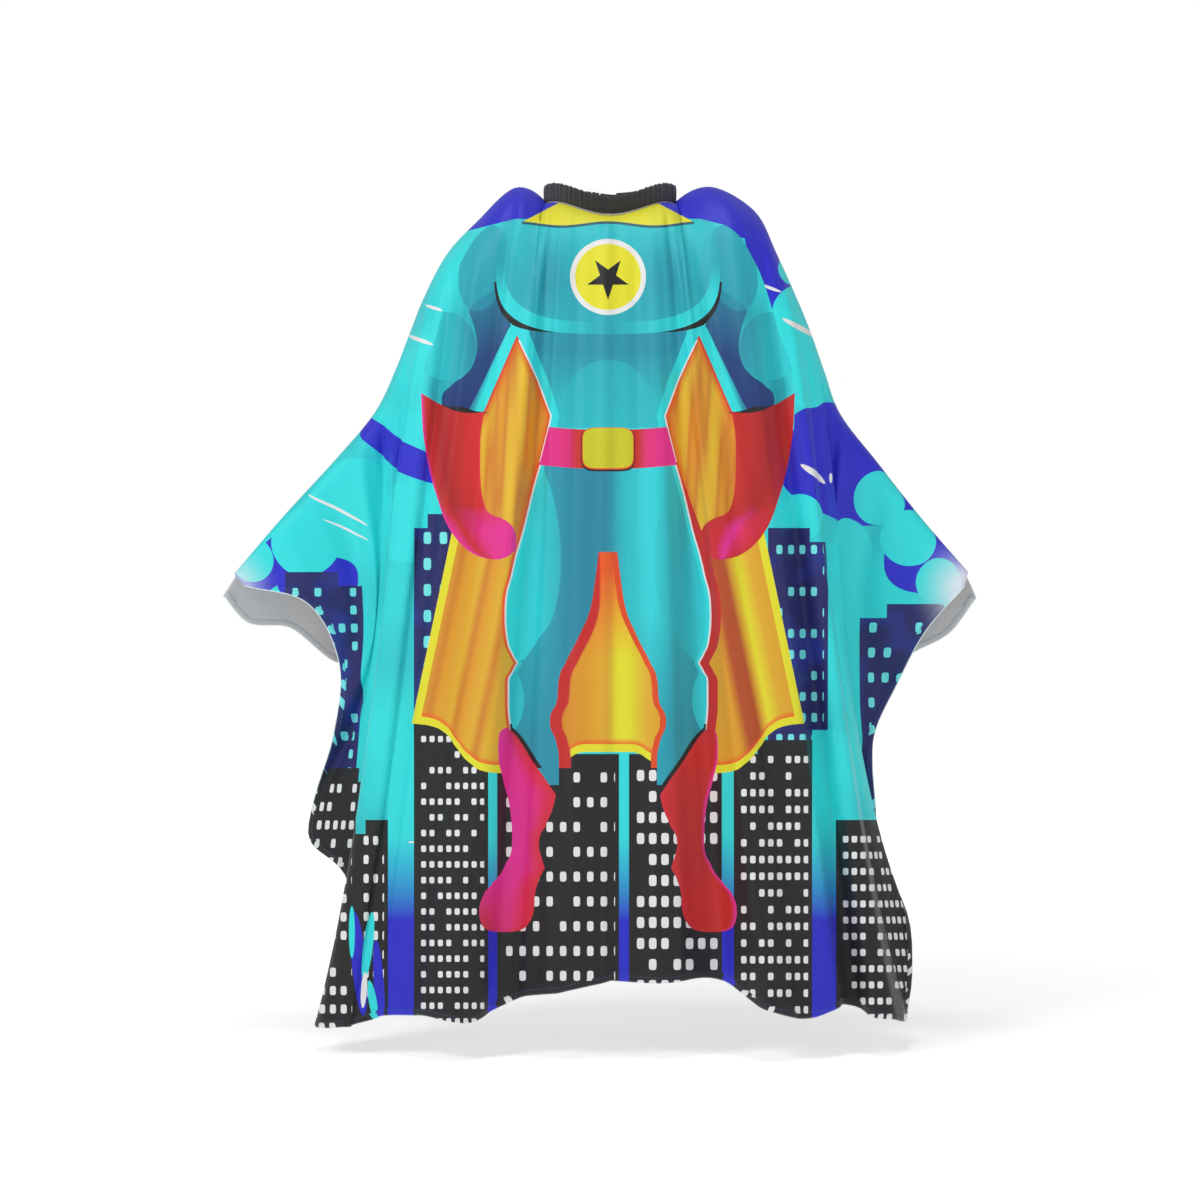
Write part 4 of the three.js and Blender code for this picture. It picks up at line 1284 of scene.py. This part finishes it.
def hem_material(group, name, pale_edge):
    """The print on a doubled edge. pale_edge is how much of the fold's white core shows."""
    material, tree, shader = new_material(name, 0.45, sheen=0.15, specular=0.35)
    picture = add_node(tree, "Group", {0: mapped(tree, "print")}, node_tree=group)
    edge = mapped(tree, "edge")
    along, face = (part * 1000 for part in parts_of(tree, edge))
    inset = face.size() - 1
    paint = Paint(tree, picture.outputs[0])
    paint.layer(face < 0, INSIDE_GREY)
    paint.layer((inset < 0.45) * pale_edge, rgba(226, 238, 240))
    fill(tree, shader.inputs["Base Color"], paint.colour)
    pucker = (along * (2 * math.pi / STITCH_PITCH)).math("SINE") * 0.5 + 0.5
    near = 1 - ((inset - STITCH_INSET).size() / 1.6).rising(0, 1)
    first = bump(tree, shader, near * pucker * -1, 0.25, 0.8)
    bump(tree, shader, weave_height(tree, edge, WEAVE_PITCH), 0.05, 0.6, under=first)
    return material


def rib_material(name, colour, pitch, depth, roughness=0.85):
    """A ribbed knit or woven tape, with ribs that run up it and painted shade in the grooves between them."""
    material, tree, shader = new_material(name, roughness, sheen=0.35, specular=0.25)
    edge = mapped(tree, "edge")
    along, up = (part * 1000 for part in parts_of(tree, edge))
    rib = (along * (2 * math.pi / pitch)).math("SINE").size()
    loop = ((up + along * 0.5) * (2 * math.pi / (pitch * 0.8))).math("SINE") * 0.5
    fuzz = noise(tree, edge, 220)
    # Painted shade: the grooves between the ribs are darker. The fuzz lightens the colour in patches at
    # random.
    paint = Paint(tree, darker(colour, 0.7))
    paint.layer(rib * 0.6 + fuzz.rising(0.3, 0.8) * 0.3, colour)
    fill(tree, shader.inputs["Base Color"], paint.colour)
    first = bump(tree, shader, fuzz, 0.3, 0.4)
    bump(tree, shader, rib + loop, depth, 0.8, under=first)
    return material


def moulded_material():
    material, tree, shader = new_material("moulded_acetal", 0.3)
    grain = noise(tree, in_object(tree), 900)
    fill(tree, shader.inputs["Roughness"], grain * 0.25 + 0.2)
    paint = Paint(tree, rgba(22, 22, 24))
    paint.layer(grain.rising(0.45, 0.8) * 0.5, rgba(44, 44, 47))
    fill(tree, shader.inputs["Base Color"], paint.colour)
    bump(tree, shader, grain, 0.02, 0.5)
    return material


def thread_material(name, colour):
    material, tree, shader = new_material(name, 0.4, sheen=0.2)
    wave = Value(tree, add_node(tree, "TexWave", {"Vector": in_object(tree), "Scale": 1600}).outputs[1])
    # Painted shade: the low parts of the thread's twist are darker than its high parts.
    paint = Paint(tree, darker(colour, 0.75))
    paint.layer(wave * 0.7, colour)
    fill(tree, shader.inputs["Base Color"], paint.colour)
    bump(tree, shader, wave, 0.05, 0.5)
    return material


def satin_material():
    material, tree, shader = new_material("label_satin_white", 0.35, sheen=0.2)
    shader.inputs["Anisotropic"].default_value = 0.4
    edge = mapped(tree, "edge")
    paint = Paint(tree, rgba(232, 232, 228))
    paint.layer(noise(tree, edge, 90) * 0.5, rgba(246, 246, 243))
    fill(tree, shader.inputs["Base Color"], paint.colour)
    bump(tree, shader, weave_height(tree, edge, LABEL_WEAVE_PITCH), 0.04, 0.5)
    return material


def plain_cloth(name, colour, roughness):
    material, tree, shader = new_material(name, roughness, sheen=0.1)
    shader.inputs["Base Color"].default_value = colour
    where = in_object(tree)
    first = bump(tree, shader, noise(tree, where, 60), 1.0, 0.3)
    bump(tree, shader, weave_height(tree, where, WEAVE_PITCH), 0.06, 0.6, under=first)
    return material


# ---- Stage -------------------------------------------------------------------
WALL_LIGHT = 0.27
FLOOR_HALF = 6.0
# The floor glows more the further it lies from the cape, so that it runs into the white wall.
NEAR_GLOW, FAR_GLOW = 0.5, 1.0
GLOW_FROM, GLOW_TO = 0.9, 2.0


def add_stage():
    mesh = bpy.data.meshes.new("floor")
    corners = [(-1, -1), (1, -1), (1, 1), (-1, 1)]
    mesh.from_pydata([(x * FLOOR_HALF, y * FLOOR_HALF, FLOOR_Z) for x, y in corners], [], [(0, 1, 2, 3)])
    floor = bpy.data.objects.new("floor", mesh)
    bpy.context.collection.objects.link(floor)
    material, tree, shader = new_material("studio_white", 0.9, specular=0.0)
    shader.inputs["Base Color"].default_value = (0.9, 0.9, 0.9, 1)
    shader.inputs["Emission Color"].default_value = (1, 1, 1, 1)
    away = add_node(tree, "VectorMath", {0: in_object(tree)}, operation="LENGTH")
    share = Value(tree, away.outputs["Value"]).rising(GLOW_FROM, GLOW_TO)
    fill(tree, shader.inputs["Emission Strength"], share * (FAR_GLOW - NEAR_GLOW) + NEAR_GLOW)
    mesh.materials.append(material)


def add_light(name, location, target, energy, size):
    data = bpy.data.lights.new(name, "AREA")
    data.energy = energy
    data.size = size
    light = bpy.data.objects.new(name, data)
    light.location = location
    light.rotation_euler = (Vector(target) - Vector(location)).to_track_quat("-Z", "Y").to_euler()
    bpy.context.collection.objects.link(light)


def add_lights():
    """A white studio: its walls show white, but light the cape less than the lamps do."""
    world = bpy.data.worlds.new("studio")
    bpy.context.scene.world = world
    world.use_nodes = True
    tree = world.node_tree
    background = tree.nodes["Background"]
    seen = Value(tree, add_node(tree, "LightPath", {}).outputs["Is Camera Ray"])
    fill(tree, background.inputs["Strength"], seen * (1 - WALL_LIGHT) + WALL_LIGHT)
    background.inputs["Color"].default_value = (1, 1, 1, 1)
    add_light("key", (-1.7, -1.7, 1.6), (0, 0, -0.35), 30, 1.1)
    add_light("fill", (2.1, -2.0, 0.6), (0, 0, -0.4), 6, 0.8)
    add_light("top", (0.1, -0.4, 2.2), (0, 0, -0.4), 16, 0.8)
    bpy.context.scene.view_settings.view_transform = "Standard"


add_camera()
add_stage()
add_lights()

front = Cloth("front", rows=FRONT_ROWS)
backs = {side: Cloth("back", side, rows=BACK_ROWS) for side in ("left", "right")}
picture_group = print_group()

cloth = build_cloth([front, *backs.values()])
cloth.data.materials.append(printed_material(picture_group))
cloth.data.materials.append(plain_cloth("cape_inside", INSIDE_GREY, 0.6))
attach(cloth, "cape")
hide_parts("front_panel", "back_left_panel", "back_right_panel")

bottom_hem = hem_material(picture_group, "printed_hem", 0.15)
cuff_hem = hem_material(picture_group, "printed_cuff_hem", 0.9)
EDGES = {
    "front_hem": (lower_edge(front, -CORNER, CORNER), bottom_hem),
    "left_side_hem": (lower_edge(front, -LAST, -CORNER), cuff_hem),
    "right_side_hem": (lower_edge(front, CORNER, LAST), cuff_hem),
    "back_left_hem": (lower_edge(backs["left"], 0, LAST), cuff_hem),
    "back_right_hem": (lower_edge(backs["right"], 0, LAST), cuff_hem),
    "back_left_placket": (slit_edge(backs["left"]), bottom_hem),
    "back_right_placket": (slit_edge(backs["right"]), bottom_hem),
}
hems = [build_hem(name + "_fold", edge, name, cover) for name, (edge, cover) in EDGES.items()]
stitch_lines = [line for edge, _ in EDGES.values() for line in hem_stitch_lines(edge)]
label, label_lines = build_label(backs["left"], satin_material())
blue_thread = thread_material("blue_thread", rgba(60, 120, 190))
black_thread = thread_material("black_thread", rgba(52, 52, 56))
hem_stitches = build_stitches("hem_stitching", stitch_lines + label_lines, "cape", blue_thread)

knit = rib_material("band_knit", rgba(50, 50, 51), 1.4, 0.25)
tape = rib_material("elastic_tape", rgba(60, 60, 60), 0.9, 0.2)
binding_tape = rib_material("binding_weave", rgba(216, 216, 218), 0.8, 0.15, roughness=0.6)
swept_band("band_cover_knit", COVER_SECTION, 0.7, 0.9, "neck_band_cover", knit)
swept_band("band_elastic", ELASTIC_SECTION, 0.0, 0.0, "neck_band_elastic", tape)
swept_band("band_lining_knit", LINING_SECTION, 0.2, 0.0, "neck_band_lining", knit)
swept_band("neckline_bias_tape", BINDING_SECTION, 0.15, 0.2, "neckline_binding", binding_tape)
for layer in TAB_LAYERS:
    build_tab_layer(layer, knit)
band_lines = [neck_line(4.35, 4.2), neck_line(0.15, 14.6, face=-1)]
build_stitches("band_stitching", band_lines, "cape", black_thread)
build_stitches("tab_stitching", tab_stitch_lines(), "band_tab", black_thread)
build_snaps(moulded_material())
